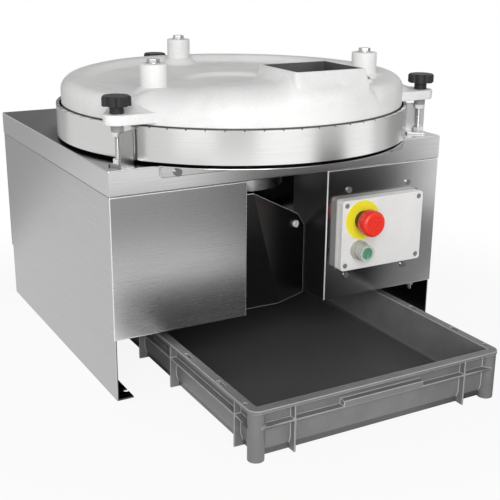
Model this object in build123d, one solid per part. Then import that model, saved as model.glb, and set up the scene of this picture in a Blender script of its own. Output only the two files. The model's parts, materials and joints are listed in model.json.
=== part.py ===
from build123d import *
import os
from math import acos, cos, hypot, pi, radians, sin, sqrt, tan

os.makedirs("parts", exist_ok=True)

# Dough rounder. Millimetres, +X right, +Y to the back, +Z up, bench at Z = 0.
# The pieces are drawn with the pan's axis at X = Y = 0 and moved to the footprint's centre when saved.

# Housing
housing_width = 550.0
post_to_back = 38.0
table_height = 330.0
axis_from_front = 175.0
panel_clear = 91.0
skirt_height = 36.0
top_sheet = 2.0
cover_sheet = 1.5
frame_sheet = 2.5
skirt_gap = 0.5
foot_flange = 25.0
top_flange = 30.0
edge_flange = 20.0
flange_relief = 4.0
bay_width = 136.0
bay_wall_depth = 95.0
panel_lip = 15.0
support_thickness = 8.0
support_edge_gap = 6.0

# Pan
ring_side_gap = 5.0
ring_wall = 5.0
ring_height = 46.0
ring_flange_width = 14.0
ring_flange_thickness = 3.0
pan_gap = 5.0
pan_thickness = 8.0
pan_edge_gap = 0.2
groove_count = 66
groove_radius = 2.2
groove_depth = 2.4
pan_screw_count = 12
pan_screw_radius = 2.5
pan_screw_head = 5.0
pan_screw_length = 9.0
pan_screw_inset = 7.0

# Drop tube and its bearing
tube_radius = 80.0
tube_wall = 4.0
tube_below_gear = 35.0
hub_flange_radius = 112.0
hub_flange_thickness = 6.0
hub_screw_count = 6
hub_screw_radius = 3.0
hub_screw_head = 6.0
hub_screw_length = 13.0
hub_screw_circle_radius = 96.0
bearing_sleeve = 8.0
bearing_drop = 2.0
running_clearance = 0.08
bore_clearance = 0.5
table_bore_gap = 1.5

# Gear drive
gear_module = 2.5
gear_teeth = 96
pinion_teeth = 24
pressure_angle = 20.0
tooth_play = 0.7
tip_share = 0.95
root_share = 1.25
flank_step_count = 3
gear_width = 16.0
gear_drop = 4.0
gear_collar_radius = 96.0
gear_collar_height = 12.0
grub_radius = 3.0
grub_length = 12.0
grub_count = 3
grub_turn = 60.0
seat_clearance = 0.05
pinion_overlap = 2.0
shaft_radius = 9.0
shaft_in_gearbox = 14.0
shaft_end = 1.0
key_width = 6.0
key_seat = 3.5

# Gearmotor under the support plate
pillar_length = 38.0
pillar_radius = 8.0
pillar_bolt_radius = 4.0
pillar_grip = 6.0
motor_plate_thickness = 6.0
motor_plate_width = 125.0
motor_plate_depth = 190.0
motor_plate_shift = -12.5
motor_plate_margin = 12.0
gearbox_side = 100.0
gearbox_height = 80.0
gearbox_round = 8.0
gearbox_bolt_pitch = 76.0
gearbox_bolt_grip = 16.0
motor_radius = 50.0
motor_clear = 7.0
fin_count = 24
fin_height = 4.0
fin_width = 3.0
fin_margin = 6.0
fin_root = 1.0
fan_cover_length = 24.0
fan_cover_wall = 1.5
vent_radius = 3.0
vent_ring_count = 3
vent_first_count = 6
vent_pitch = 12.0
terminal_width = 60.0
terminal_margin = 12.0
terminal_depth = 30.0

# Lid
lid_gap = 3.0
lid_overlap = 4.0
lid_wall = 7.0
lid_height = 47.0
lid_shoulder = 18.0
ridge_width = 34.0
ridge_slope = 12.0
ridge_rise = 11.0
ridge_fall_left = 1.0
ridge_fall_start = 110.0
ridge_fall_end = 207.0
ridge_fall_back = 215.0
ridge_fall_step_count = 4
ridge_fall_chamfer = 6.0
dish_radius = 72.0
dish_drop = 6.0
dish_slope = 10.0
boss_inset = 59.0
boss_radius = 19.2
boss_angles = {"left": -150.0, "right": -30.0, "rear": 89.0}
boss_height = 31.0
boss_pad = 6.0
post_offset = 22.0
post_angles = {"left": -149.0, "right": -30.0, "rear": 90.5}
lug_gap = 4.5
lug_thickness = 14.0
lug_end_radius = 18.5
lug_flare = 30.0
lug_boss_radius = 8.5
lug_boss_height = 9.5
lug_hole_radius = 4.5
hump_start = -152.0
hump_end = -84.0
hump_step_count = 6
hump_rise = 14.0
hump_least = 0.04
hump_foot_start_inset = 94.0
hump_foot_end_inset = 178.0
hump_outer_inset = 14.0
hump_slope = 70.0
hump_shoulder = 10.0
inlet_width = 112.0
inlet_depth = 102.0
inlet_x = 26.0
inlet_inset = 76.0
inlet_height = 26.0
inlet_wall = 3.0
inlet_lean = 16.0
inlet_flare = 34.0
plug_angle = -60.0
plug_inset = 36.0
plug_boss_radius = 9.0
plug_boss_height = 5.0
plug_head_radius = 5.0
plug_head_height = 3.0
plug_shank_radius = 2.5
plug_shank_length = 7.0

# Spiral guide under the lid
guide_thickness = 8.0
guide_gap = 1.5
guide_pad_radius = 10.0
guide_pad_height = 30.0
guide_outer_inset = 12.0
guide_inner_inset = 124.0
guide_start = -20.0
guide_feed_end = -104.0
guide_end = -345.0
guide_step = 3.0

# Posts and knobs
stud_radius = 4.0
nut_across = 13.0
nut_height = 6.5
stud_tail = 4.0
bracket_sheet = 3.0
bracket_height = 46.0
bracket_inner_gap = 3.0
bracket_length = 29.0
bracket_corner = 4.0
bracket_offset = 9.0
bracket_foot_half = 9.0
bracket_foot_out = 10.0
hole_clearance = 0.25
knob_radius = 19.5
knob_head = 13.0
knob_neck_radius = 9.4
knob_neck = 10.5
knob_lobe_count = 7
knob_scallop = 6.0
knob_scallop_out = 3.2
knob_cap = 5.0
stud_cap_gap = 1.0
knob_chamfer = 2.0

# Bolts of the bosses, frame, guards and skirts
m10_radius = 5.0
m10_head_across = 16.0
m10_head = 6.4
boss_bolt_grip = 20.0
m8_radius = 4.0
m8_head = 5.3
frame_bolt_places = (60.0, 280.0)
m6_radius = 3.0
m6_head_radius = 5.5
m6_head = 3.5
m6_nut_across = 10.0
m6_nut = 5.0

# Guards
guard_sheet = 1.5
pan_guard_inset = 2.0
pan_guard_flange = 17.0
pan_guard_round = 6.0
pan_guard_bolt_inset = 26.5
pan_guard_bolt_drop = 11.0
drop_guard_below = 6.0
drop_guard_set_back = 37.0
drop_guard_fold_x = 9.0
drop_guard_right_back = 62.0
drop_guard_fold_top_inset = 16.0
drop_guard_top_gap = 22.0
drop_guard_right_gap = 97.0
drop_guard_cut = 16.0
drop_guard_cut_gap = 76.0
drop_guard_flange = 24.0
drop_guard_wall_gap = 0.3
drop_guard_bolt_from_wall = 24.0
drop_guard_bolt_gap = 90.0
drop_guard_bolt_inset = 8.0

# Control box
enclosure_left_margin = 18.0
enclosure_right_margin = 38.0
enclosure_height = 110.0
enclosure_lift = 1.75
enclosure_proud = 16.0
enclosure_cover_depth = 10.0
enclosure_behind = 45.0
enclosure_wall = 3.0
enclosure_round = 5.0
cover_screw_inset = 8.0
cover_screw_radius = 2.0
cover_screw_head = 3.6
cover_screw_sink = 2.0
cover_screw_length = 16.0
cover_post_half = 6.0
cover_screw_slot = 1.0
panel_cut_gap = 0.5
panel_screw_inset = 20.0
panel_screw_beyond = 12.5
panel_screw_radius = 2.5
panel_screw_head_radius = 4.5
panel_screw_head = 2.5
panel_screw_length = 8.0
bracket_side_margin = 8.0
bracket_end_margin = 23.0
estop_from_left = 36.0
estop_above = 23.0
estop_disc_radius = 30.0
estop_disc_thickness = 1.2
estop_collar_radius = 14.5
estop_collar_proud = 9.0
estop_barrel_radius = 11.0
estop_barrel_length = 14.0
estop_stem_radius = 5.0
estop_travel = 5.0
estop_head_radius = 20.0
estop_head_depth = 17.0
estop_head_round = 6.0
estop_head_gap = 1.0
estop_turn_seat = 6.0
estop_block_side = 26.0
estop_block_depth = 20.0
start_from_left = 31.0
start_below = 23.5
start_bezel_radius = 14.8
start_bezel_proud = 7.0
start_bezel_wall = 1.9
start_boot_radius = 12.6
start_boot_wall = 2.0
start_boot_proud = 24.0
start_boot_rib_count = 3
start_boot_rib = 0.8
start_cap_radius = 9.0
start_cap_top = 1.4
start_travel = 3.5
start_stem_radius = 4.0
start_block_side = 24.0
start_block_depth = 20.0
plunger_gap = 0.5
barrel_nut = 3.6
earth_inset = 8.5
earth_back = 9.0
earth_length = 12.0

# Crate
crate_width = 400.0
crate_length = 600.0
crate_height = 72.0
crate_out = 239.0
crate_x = 8.0
crate_wall = 2.5
crate_floor = 3.0
crate_floor_up = 3.0
crate_rim = 11.0
crate_rim_thickness = 4.5
crate_corner = 14.0
crate_taper = 7.0
crate_taper_height = 20.0
crate_band_height = 46.0
crate_band_inset = 1.5
crate_post_radius = 11.0
crate_rib_foot = 2.0
crate_front_ribs = (-137.0, 137.0)
crate_side_ribs = (-250.0, -57.0, 57.0, 250.0)
crate_grip_width = 128.0
crate_grip_rise = 7.0
crate_slots = (-207.0, -110.0, 110.0, 207.0)
crate_slot_length = 16.0
crate_slot_width = 4.0
crate_holes = (-272.0, 272.0)
crate_hole_radius = 2.5

# Places worked out from the sizes above
side_x = housing_width / 2
ring_radius = side_x - ring_side_gap
post_circle = ring_radius + post_offset
front_y = -axis_from_front
back_y = post_circle + post_to_back
skirt_bottom = table_height - skirt_height
frame_x = side_x - top_sheet - skirt_gap
frame_front = front_y + top_sheet + skirt_gap
frame_back = back_y - top_sheet - skirt_gap
panel_x = frame_x + cover_sheet
panel_front = frame_front - cover_sheet
panel_top = skirt_bottom - skirt_gap
support_top = table_height - top_sheet
support_bottom = support_top - support_thickness
ring_bottom = table_height + pan_gap
ring_top = ring_bottom + ring_height
ring_inner = ring_radius - ring_wall
pan_bottom = ring_bottom + ring_flange_thickness
pan_top = pan_bottom + pan_thickness
hub_bottom = pan_bottom - hub_flange_thickness
bearing_bottom = support_bottom - bearing_drop
gear_top = bearing_bottom - gear_drop
gear_bottom = gear_top - gear_width
gear_pitch = gear_module * gear_teeth / 2
pinion_pitch = gear_module * pinion_teeth / 2
motor_x = -(gear_pitch + pinion_pitch)
motor_plate_top = support_bottom - pillar_length
motor_plate_bottom = motor_plate_top - motor_plate_thickness
gearbox_top = motor_plate_bottom
gearbox_bottom = gearbox_top - gearbox_height
fan_bottom = panel_clear + motor_clear
motor_bottom = fan_bottom + fan_cover_length
motor_length = gearbox_bottom - motor_bottom
terminal_height = motor_length - 2 * terminal_margin
tube_bottom = gear_bottom - gear_collar_height - tube_below_gear
pinion_bottom = gear_bottom - pinion_overlap
pinion_top = gear_top + pinion_overlap
lid_radius = ring_inner - lid_gap
lid_rim = ring_top - lid_overlap
ridge_z = lid_rim + lid_height
trough_z = ridge_z - ridge_rise
dish_z = trough_z - dish_drop
ridge_inner = lid_radius - ridge_width
boss_circle = lid_radius - boss_inset
plug_circle = lid_radius - plug_inset
hump_foot_start = lid_radius - hump_foot_start_inset
hump_foot_end = lid_radius - hump_foot_end_inset
hump_outer = lid_radius - hump_outer_inset
inlet_y = inlet_inset - lid_radius
guide_outer = lid_radius - guide_outer_inset
guide_inner = lid_radius - guide_inner_inset
guide_slope = (guide_start - boss_angles["right"]) / (guide_outer - boss_circle)
guide_turn_in = guide_start - guide_slope * (guide_outer - guide_inner)
boss_top = ridge_z + boss_height
lug_bottom = ring_top + lug_gap
lug_top = lug_bottom + lug_thickness
lug_boss_bottom = lug_bottom - lug_boss_height
inlet_top = ridge_z + inlet_height
roof_z = trough_z - lid_wall
guide_bottom = pan_top + guide_gap
knob_neck_top = lug_top + knob_neck
knob_top = knob_neck_top + knob_head
stud_top = knob_top - knob_cap - stud_cap_gap
stud_hole = stud_radius + hole_clearance
guard_edge = ring_radius - pan_guard_inset
guard_half = sqrt(guard_edge**2 - axis_from_front**2)
pan_guard_bolt_x = guard_half - pan_guard_bolt_inset
drop_guard_bottom = panel_clear - drop_guard_below
drop_guard_top = skirt_bottom - drop_guard_top_gap
drop_guard_right_top = skirt_bottom - drop_guard_right_gap
drop_guard_cut_top = skirt_bottom - drop_guard_cut_gap
drop_guard_fold_top_x = drop_guard_fold_top_inset - bay_width / 2
drop_guard_bolt_x = bay_width / 2 - drop_guard_bolt_from_wall
drop_guard_bolt_z = skirt_bottom - drop_guard_bolt_gap
enclosure_left = bay_width / 2 + enclosure_left_margin
enclosure_right = panel_x - enclosure_right_margin
enclosure_width = enclosure_right - enclosure_left
enclosure_x = (enclosure_left + enclosure_right) / 2
enclosure_z = (panel_clear + panel_top) / 2 + enclosure_lift
enclosure_low = enclosure_z - enclosure_height / 2
enclosure_high = enclosure_z + enclosure_height / 2
panel_screw_x = enclosure_width / 2 - panel_screw_inset
panel_screw_z = enclosure_height / 2 + panel_screw_beyond
bracket_frame_width = enclosure_width + 2 * bracket_side_margin
bracket_frame_height = enclosure_height + 2 * bracket_end_margin
estop_x = enclosure_left + estop_from_left
estop_z = enclosure_z + estop_above
start_x = enclosure_left + start_from_left
start_z = enclosure_z - start_below
lip_end = frame_x - edge_flange - flange_relief
earth_x = lip_end - earth_inset
crate_front = front_y - crate_out
crate_back = crate_front + crate_length
frame_shift = -(crate_front + max(back_y, crate_back)) / 2


def box(x0, x1, y0, y1, z0, z1):
    """A block between two corners."""
    middle = ((x0 + x1) / 2, (y0 + y1) / 2, (z0 + z1) / 2)
    return Pos(*middle) * Box(x1 - x0, y1 - y0, z1 - z0)


def rod(radius, z0, z1, x=0.0, y=0.0):
    """An upright cylinder."""
    return Pos(x, y, (z0 + z1) / 2) * Cylinder(radius, z1 - z0)


def rod_y(radius, y0, y1, x, z):
    """A cylinder that runs front to back."""
    return Pos(x, (y0 + y1) / 2, z) * Rot(90, 0, 0) * Cylinder(radius, y1 - y0)


def tube(outer, inner, z0, z1, x=0.0, y=0.0):
    """An upright tube."""
    return rod(outer, z0, z1, x, y) - rod(inner, z0, z1, x, y)


def hexagon(across, z0, z1, x=0.0, y=0.0):
    """An upright hexagonal prism, measured across its flats."""
    outline = RegularPolygon(across / 2, 6, major_radius=False)
    return Pos(x, y, z0) * extrude(outline, z1 - z0)


def polar(radius, angle):
    """The plan point at a radius and an angle about the pan's axis."""
    return radius * cos(radians(angle)), radius * sin(radians(angle))


def sunk_screw(radius, head, length, z_top, x, y, up=1):
    """A countersunk screw whose flat head ends at z_top; up is -1 when it is driven from below."""
    cone = Cone(radius, head, head - radius)
    shank = Cylinder(radius, length)
    body = Pos(0, 0, -(head - radius) / 2) * cone + Pos(0, 0, -length / 2) * shank
    if up < 0:
        body = Rot(180, 0, 0) * body
    return Pos(x, y, z_top) * body


def save(name, *pieces):
    """Writes one node, moved from the pan's axis to the footprint's centre."""
    solids = [solid for piece in pieces for solid in piece.solids()]
    moved = [Pos(0, frame_shift, 0) * solid for solid in solids]
    node = moved[0] if len(moved) == 1 else Compound(children=moved)
    export_step(node, f"parts/{name}.step")


# Side frames: a leg sheet on each side with foot, top, front and back flanges turned inwards
def side_frame(side):
    outer = frame_x
    web = box(outer - frame_sheet, outer, frame_front, frame_back, 0, support_bottom)
    foot = box(outer - foot_flange, outer, frame_front, frame_back, 0, frame_sheet)
    head_low = support_bottom - frame_sheet
    head = box(outer - top_flange, outer, frame_front, frame_back, head_low, support_bottom)
    low = panel_clear + flange_relief
    high = support_bottom - frame_sheet - flange_relief
    front = box(outer - edge_flange, outer, frame_front, frame_front + frame_sheet, low, high)
    back = box(outer - edge_flange, outer, frame_back - frame_sheet, frame_back, low, high)
    shape = web + foot + head + front + back
    post_x, post_y = polar(post_circle, post_angles["right" if side > 0 else "left"])
    shape -= rod(stud_hole, 0, table_height, abs(post_x), post_y)
    for place in frame_bolt_places:
        x = outer - top_flange / 2
        shape -= rod(m8_radius + hole_clearance, support_bottom - frame_sheet, support_bottom, x, place)
    return shape if side > 0 else mirror(shape, Plane.YZ)


save("right_side_frame", side_frame(1))
save("left_side_frame", side_frame(-1))


# Side covers: outer skins of the side frames above the legs
def side_cover(side):
    skin = box(frame_x, panel_x, frame_front, frame_back, panel_clear, panel_top)
    return skin if side > 0 else mirror(skin, Plane.YZ)


save("right_side_cover", side_cover(1))
save("left_side_cover", side_cover(-1))

# Back panel
save("back_panel", box(-panel_x, panel_x, frame_back, frame_back + cover_sheet, panel_clear, panel_top))


# Front panels: face, bay wall and a lip along the lower edge
def front_panel(side):
    inner = bay_width / 2
    face = box(inner, panel_x, panel_front, frame_front, panel_clear, panel_top)
    wall_back = panel_front + bay_wall_depth
    wall = box(inner, inner + cover_sheet, panel_front, wall_back, panel_clear, panel_top)
    lip = box(inner, lip_end, panel_front, panel_front + panel_lip, panel_clear, panel_clear + cover_sheet)
    shape = face + wall + lip
    return shape if side > 0 else mirror(shape, Plane.YZ)


panel_screw_points = [
    (enclosure_x + sx * panel_screw_x, enclosure_z + sz * panel_screw_z)
    for sx in (-1, 1)
    for sz in (-1, 1)
]
earth_y = panel_front + earth_back

left_front_panel = front_panel(-1)
control_panel = front_panel(1)
control_panel -= box(
    enclosure_left - panel_cut_gap,
    enclosure_right + panel_cut_gap,
    panel_front,
    frame_front,
    enclosure_low - panel_cut_gap,
    enclosure_high + panel_cut_gap,
)
for x, z in panel_screw_points:
    control_panel -= rod_y(panel_screw_radius + hole_clearance, panel_front, frame_front, x, z)
control_panel -= rod(m6_radius + hole_clearance, panel_clear, panel_clear + cover_sheet, earth_x, earth_y)

# Earth stud under the control panel's lip
lip_top = panel_clear + cover_sheet
earth_stud = rod(m6_radius, panel_clear - earth_length, lip_top + m6_nut, earth_x, earth_y)
earth_stud += hexagon(m6_nut_across, panel_clear - m6_nut, panel_clear, earth_x, earth_y)
earth_stud += hexagon(m6_nut_across, lip_top, lip_top + m6_nut, earth_x, earth_y)
save("earth_stud", earth_stud)

# Table top: folded cover with a skirt, holes for the bearing, the posts and the guard's bolts
table_top = box(-side_x, side_x, front_y, back_y, skirt_bottom, table_height)
inside = (side_x - top_sheet, front_y + top_sheet, back_y - top_sheet)
table_top -= box(-inside[0], inside[0], inside[1], inside[2], skirt_bottom, support_top)
table_top -= rod(hub_flange_radius + table_bore_gap, support_top, table_height)
post_points = {name: polar(post_circle, angle) for name, angle in post_angles.items()}
for x, y in post_points.values():
    table_top -= rod(stud_hole, support_top, table_height, x, y)
guard_bolt_z = table_height - pan_guard_bolt_drop
for side in (-1, 1):
    x = side * pan_guard_bolt_x
    table_top -= rod_y(m6_radius + hole_clearance, front_y, front_y + top_sheet, x, guard_bolt_z)
save("table_top", table_top)

# Support plate under the table top
pillar_points = [
    (motor_x + motor_plate_shift + sx * (motor_plate_width / 2 - motor_plate_margin),
     sy * (motor_plate_depth / 2 - motor_plate_margin))
    for sx in (-1, 1)
    for sy in (-1, 1)
]
frame_bolt_points = [
    (side * (frame_x - top_flange / 2), place) for side in (-1, 1) for place in frame_bolt_places
]
plate_x = frame_x - hole_clearance
support_plate = box(
    -plate_x,
    plate_x,
    frame_front + support_edge_gap,
    frame_back - support_edge_gap,
    support_bottom,
    support_top,
)
support_plate -= rod(tube_radius + bearing_sleeve, support_bottom, support_top)
for x, y in post_points.values():
    support_plate -= rod(stud_hole, support_bottom, support_top, x, y)
for x, y in frame_bolt_points:
    support_plate -= rod(m8_radius, support_bottom, support_bottom + pillar_grip, x, y)
for x, y in pillar_points:
    support_plate -= rod(pillar_bolt_radius, support_bottom, support_bottom + pillar_grip, x, y)
save("support_plate", support_plate)

flange_bottom = support_bottom - frame_sheet
frame_bolts = []
for x, y in frame_bolt_points:
    shank = rod(m8_radius, flange_bottom - m8_head, support_bottom + pillar_grip, x, y)
    frame_bolts.append(shank + hexagon(nut_across, flange_bottom - m8_head, flange_bottom, x, y))
save("frame_bolts", *frame_bolts)

# Flanged plain bearing in the support plate
bearing_bore = tube_radius + running_clearance
pan_bearing = tube(tube_radius + bearing_sleeve, bearing_bore, bearing_bottom, support_top)
pan_bearing += tube(hub_flange_radius, bearing_bore, support_top, hub_bottom)
save("pan_bearing", pan_bearing)

# Drop tube: hub of the pan, open right through
drop_tube = rod(tube_radius, tube_bottom, pan_bottom) + rod(hub_flange_radius, hub_bottom, pan_bottom)
drop_tube -= rod(tube_radius - tube_wall, tube_bottom, pan_bottom)
hub_screws = []
hub_screw_step = 360 / hub_screw_count
hub_screw_points = [
    polar(hub_screw_circle_radius, hub_screw_step * i) for i in range(hub_screw_count)
]
for x, y in hub_screw_points:
    screw = sunk_screw(hub_screw_radius, hub_screw_head, hub_screw_length, pan_top, x, y)
    hub_screws.append(screw)
    drop_tube -= rod(hub_screw_radius, pan_top - hub_screw_length, pan_bottom, x, y)
save("drop_tube", drop_tube)
save("pan_hub_screws", *hub_screws)

# Pan ring: upright wall with grooves inside and a flange under the pan's floor
ring_flange_inner = ring_inner - ring_flange_width
pan_ring = tube(ring_radius, ring_inner, ring_bottom, ring_top)
pan_ring += tube(ring_radius, ring_flange_inner, ring_bottom, pan_bottom)
groove_centre = ring_inner + groove_depth - groove_radius
grooves = [
    rod(groove_radius, pan_top, ring_top, *polar(groove_centre, 360 / groove_count * i))
    for i in range(groove_count)
]
pan_ring -= grooves
ring_screw_points = [
    polar(ring_inner - pan_screw_inset, 360 / pan_screw_count * (i + 0.5)) for i in range(pan_screw_count)
]
ring_screws = [
    sunk_screw(pan_screw_radius, pan_screw_head, pan_screw_length, ring_bottom, x, y, up=-1)
    for x, y in ring_screw_points
]
pan_ring -= ring_screws
save("pan_ring", pan_ring)
save("pan_ring_screws", *ring_screws)

# Pan plate: floor of the pan with the drop hole
pan_plate = tube(ring_inner - pan_edge_gap, tube_radius - tube_wall, pan_bottom, pan_top)
pan_plate -= hub_screws
pan_plate -= ring_screws
save("pan_plate", pan_plate)


# Spur gears: involute flanks in short straight steps
def gear_face(teeth, turn):
    pitch = gear_module * teeth / 2
    base = pitch * cos(radians(pressure_angle))
    tip = pitch + tip_share * gear_module
    root = pitch - root_share * gear_module
    at_pitch = tan(radians(pressure_angle)) - radians(pressure_angle)
    half = pi / (2 * teeth) - tooth_play / (4 * pitch)
    start = max(base, root)
    flank = []
    for i in range(flank_step_count + 1):
        radius = start + (tip - start) * i / flank_step_count
        roll = acos(base / radius)
        flank.append((radius, half + at_pitch - (tan(roll) - roll)))
    one_side = [(root, flank[0][1])] + flank if root < base else flank
    outline = []
    for tooth in range(teeth):
        middle = radians(turn) + 2 * pi * tooth / teeth
        rising = [(r, middle - a) for r, a in one_side]
        falling = [(r, middle + a) for r, a in reversed(one_side)]
        outline += [(r * cos(a), r * sin(a)) for r, a in rising + falling]
    return make_face(Polyline(*outline, close=True))


drive_gear = Pos(0, 0, gear_bottom) * extrude(gear_face(gear_teeth, 0), gear_width)
collar_bottom = gear_bottom - gear_collar_height
drive_gear += rod(gear_collar_radius, collar_bottom, gear_bottom)
drive_gear -= rod(tube_radius + seat_clearance, collar_bottom, gear_top)
grub_z = collar_bottom + gear_collar_height / 2
grub_screws = []
for i in range(grub_count):
    start = tube_radius + seat_clearance
    screw = Pos(start + grub_length / 2, 0, grub_z) * Rot(0, 90, 0) * Cylinder(grub_radius, grub_length)
    screw = Rot(0, 0, 360 / grub_count * i + grub_turn) * screw
    through = Pos(start + gear_collar_radius / 2, 0, grub_z) * Rot(0, 90, 0)
    through = through * Cylinder(grub_radius, gear_collar_radius)
    drive_gear -= Rot(0, 0, 360 / grub_count * i + grub_turn) * through
    grub_screws.append(screw)
save("drive_gear", drive_gear)
save("gear_grub_screws", *grub_screws)

pinion_width = pinion_top - pinion_bottom
pinion = Pos(motor_x, 0, pinion_bottom) * extrude(gear_face(pinion_teeth, 180 / pinion_teeth), pinion_width)
pinion -= rod(shaft_radius + seat_clearance, pinion_bottom, pinion_top, motor_x, 0)
key_x = motor_x - shaft_radius
key_slot = box(
    key_x - key_width + key_seat, key_x + key_seat, -key_width / 2, key_width / 2, pinion_bottom, pinion_top
)
save("pinion", pinion - key_slot)
save("pinion_key", key_slot)

output_shaft = rod(shaft_radius, gearbox_top - shaft_in_gearbox, pinion_top + shaft_end, motor_x, 0)
save("output_shaft", output_shaft - key_slot)

# Gearmotor: plate on pillars, gearbox, finned motor, fan cover and terminal box
plate_middle = motor_x + motor_plate_shift
motor_plate = box(
    plate_middle - motor_plate_width / 2,
    plate_middle + motor_plate_width / 2,
    -motor_plate_depth / 2,
    motor_plate_depth / 2,
    motor_plate_bottom,
    motor_plate_top,
)
motor_plate -= rod(shaft_radius + bore_clearance, motor_plate_bottom, motor_plate_top, motor_x, 0)
pillars = []
pillar_bolts = []
for x, y in pillar_points:
    bolt_hole = pillar_bolt_radius + hole_clearance
    motor_plate -= rod(bolt_hole, motor_plate_bottom, motor_plate_top, x, y)
    pillars.append(tube(pillar_radius, bolt_hole, motor_plate_top, support_bottom, x, y))
    bolt = rod(pillar_bolt_radius, motor_plate_bottom - m8_head, support_bottom + pillar_grip, x, y)
    bolt += hexagon(nut_across, motor_plate_bottom - m8_head, motor_plate_bottom, x, y)
    pillar_bolts.append(bolt)
gearbox_bolt_points = [
    (motor_x + sx * gearbox_bolt_pitch / 2, sy * gearbox_bolt_pitch / 2) for sx in (-1, 1) for sy in (-1, 1)
]
gearbox_outline = RectangleRounded(gearbox_side, gearbox_side, gearbox_round)
gearbox = Pos(motor_x, 0, gearbox_bottom) * extrude(gearbox_outline, gearbox_height)
gearbox -= rod(shaft_radius + running_clearance, gearbox_top - shaft_in_gearbox, gearbox_top, motor_x, 0)
gearbox_bolts = []
for x, y in gearbox_bolt_points:
    motor_plate -= rod(m8_radius + hole_clearance, motor_plate_bottom, motor_plate_top, x, y)
    gearbox -= rod(m8_radius, gearbox_top - gearbox_bolt_grip, gearbox_top, x, y)
    bolt = rod(m8_radius, gearbox_top - gearbox_bolt_grip, motor_plate_top + m8_head, x, y)
    bolt += hexagon(nut_across, motor_plate_top, motor_plate_top + m8_head, x, y)
    gearbox_bolts.append(bolt)
save("motor_plate", motor_plate)
save("motor_pillars", *pillars)
save("motor_plate_bolts", *pillar_bolts)
save("gearbox", gearbox)
save("gearbox_bolts", *gearbox_bolts)

motor_body = rod(motor_radius, motor_bottom, gearbox_bottom, motor_x, 0)
fin = box(
    motor_radius - fin_root,
    motor_radius + fin_height,
    -fin_width / 2,
    fin_width / 2,
    motor_bottom + fin_margin,
    gearbox_bottom - fin_margin,
)
fins = [Rot(0, 0, 360 / fin_count * i) * fin for i in range(fin_count)]
terminal_face = motor_x - motor_radius - fin_height
terminal_z = (motor_bottom + gearbox_bottom) / 2
terminal_box = box(
    terminal_face - terminal_depth,
    motor_x - motor_radius / 2,
    -terminal_width / 2,
    terminal_width / 2,
    terminal_z - terminal_height / 2,
    terminal_z + terminal_height / 2,
)
motor_body = (motor_body + [Pos(motor_x, 0, 0) * one for one in fins]) - terminal_box
terminal_box -= rod(motor_radius, motor_bottom, gearbox_bottom, motor_x, 0)
save("motor_body", motor_body)
save("motor_terminal_box", terminal_box)

fan_radius = motor_radius + fin_height
fan_cover = rod(fan_radius, fan_bottom, motor_bottom, motor_x, 0)
fan_cover -= rod(fan_radius - fan_cover_wall, fan_bottom + fan_cover_wall, motor_bottom, motor_x, 0)
fan_seat = motor_bottom - fan_cover_wall
fan_cover += tube(fan_radius, motor_radius - fin_height, fan_seat, motor_bottom, motor_x, 0)
for ring in range(vent_ring_count):
    circle = vent_pitch * (ring + 1)
    vents = vent_first_count * (ring + 1)
    for i in range(vents):
        x, y = polar(circle, 360 / vents * i)
        fan_cover -= rod(vent_radius, fan_bottom, fan_bottom + fan_cover_wall, motor_x + x, y)
save("motor_fan_cover", fan_cover)

# Lid: outer form of revolution, feed hump, inlet, bosses and lugs, hollowed by the channel's roof
lid_outer_points = [
    (0, lid_rim),
    (lid_radius, lid_rim),
    (lid_radius, ridge_z),
    (ridge_inner, ridge_z),
    (ridge_inner - ridge_slope, trough_z),
    (dish_radius + dish_slope, trough_z),
    (dish_radius, dish_z),
    (0, dish_z),
]
lid_face = make_face(Polyline(*lid_outer_points, close=True))
shoulder = lid_face.vertices().sort_by_distance((lid_radius, ridge_z, 0))[0]
lid = revolve(Plane.XZ * fillet(shoulder, lid_shoulder), Axis.Z)


def fall_section(angle, share, below):
    """Radial section of what is cut off the ridge where it falls away towards the left lug."""
    top = ridge_z - (ridge_rise - ridge_fall_left) * share - below
    inside = ridge_inner - ridge_slope - lid_wall
    outside = lid_radius + ridge_fall_left
    outline = [
        (inside, top),
        (outside - ridge_fall_chamfer, top),
        (outside, top - ridge_fall_chamfer),
        (outside, ridge_z + lid_wall),
        (inside, ridge_z + lid_wall),
    ]
    return make_face(Polyline(*[Vector(*polar(r, angle), z) for r, z in outline], close=True))


def ridge_fall(below):
    """The cut along the ridge: a long fall and a short climb back up to the hump."""
    shares = [i / ridge_fall_step_count for i in range(ridge_fall_step_count + 1)]
    reach = ridge_fall_end - ridge_fall_start
    sections = [fall_section(ridge_fall_start + reach * share, share, below) for share in shares]
    sections.append(fall_section(ridge_fall_back, 0, below))
    return loft(sections, ruled=True)


lid -= ridge_fall(0)


def hump_section(angle):
    """Radial section of the feed hump, which climbs from its start to the inlet."""
    share = (angle - hump_start) / (hump_end - hump_start)
    top = ridge_z + hump_rise * max(share, hump_least)
    foot = hump_foot_end + (hump_foot_start - hump_foot_end) * (1 - share) ** 2
    crest = min(foot + hump_slope, hump_outer - 2 * hump_shoulder)
    base = trough_z - lid_wall / 2
    outline = [
        (foot, base),
        (crest, top),
        (hump_outer - hump_shoulder, top),
        (hump_outer, base),
    ]
    points = [Vector(*polar(radius, angle), z) for radius, z in outline]
    return make_face(Polyline(*points, close=True))


hump_step = (hump_end - hump_start) / hump_step_count
hump_angles = [hump_start + hump_step * i for i in range(hump_step_count + 1)]
lid += loft([hump_section(angle) for angle in hump_angles], ruled=True)

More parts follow.
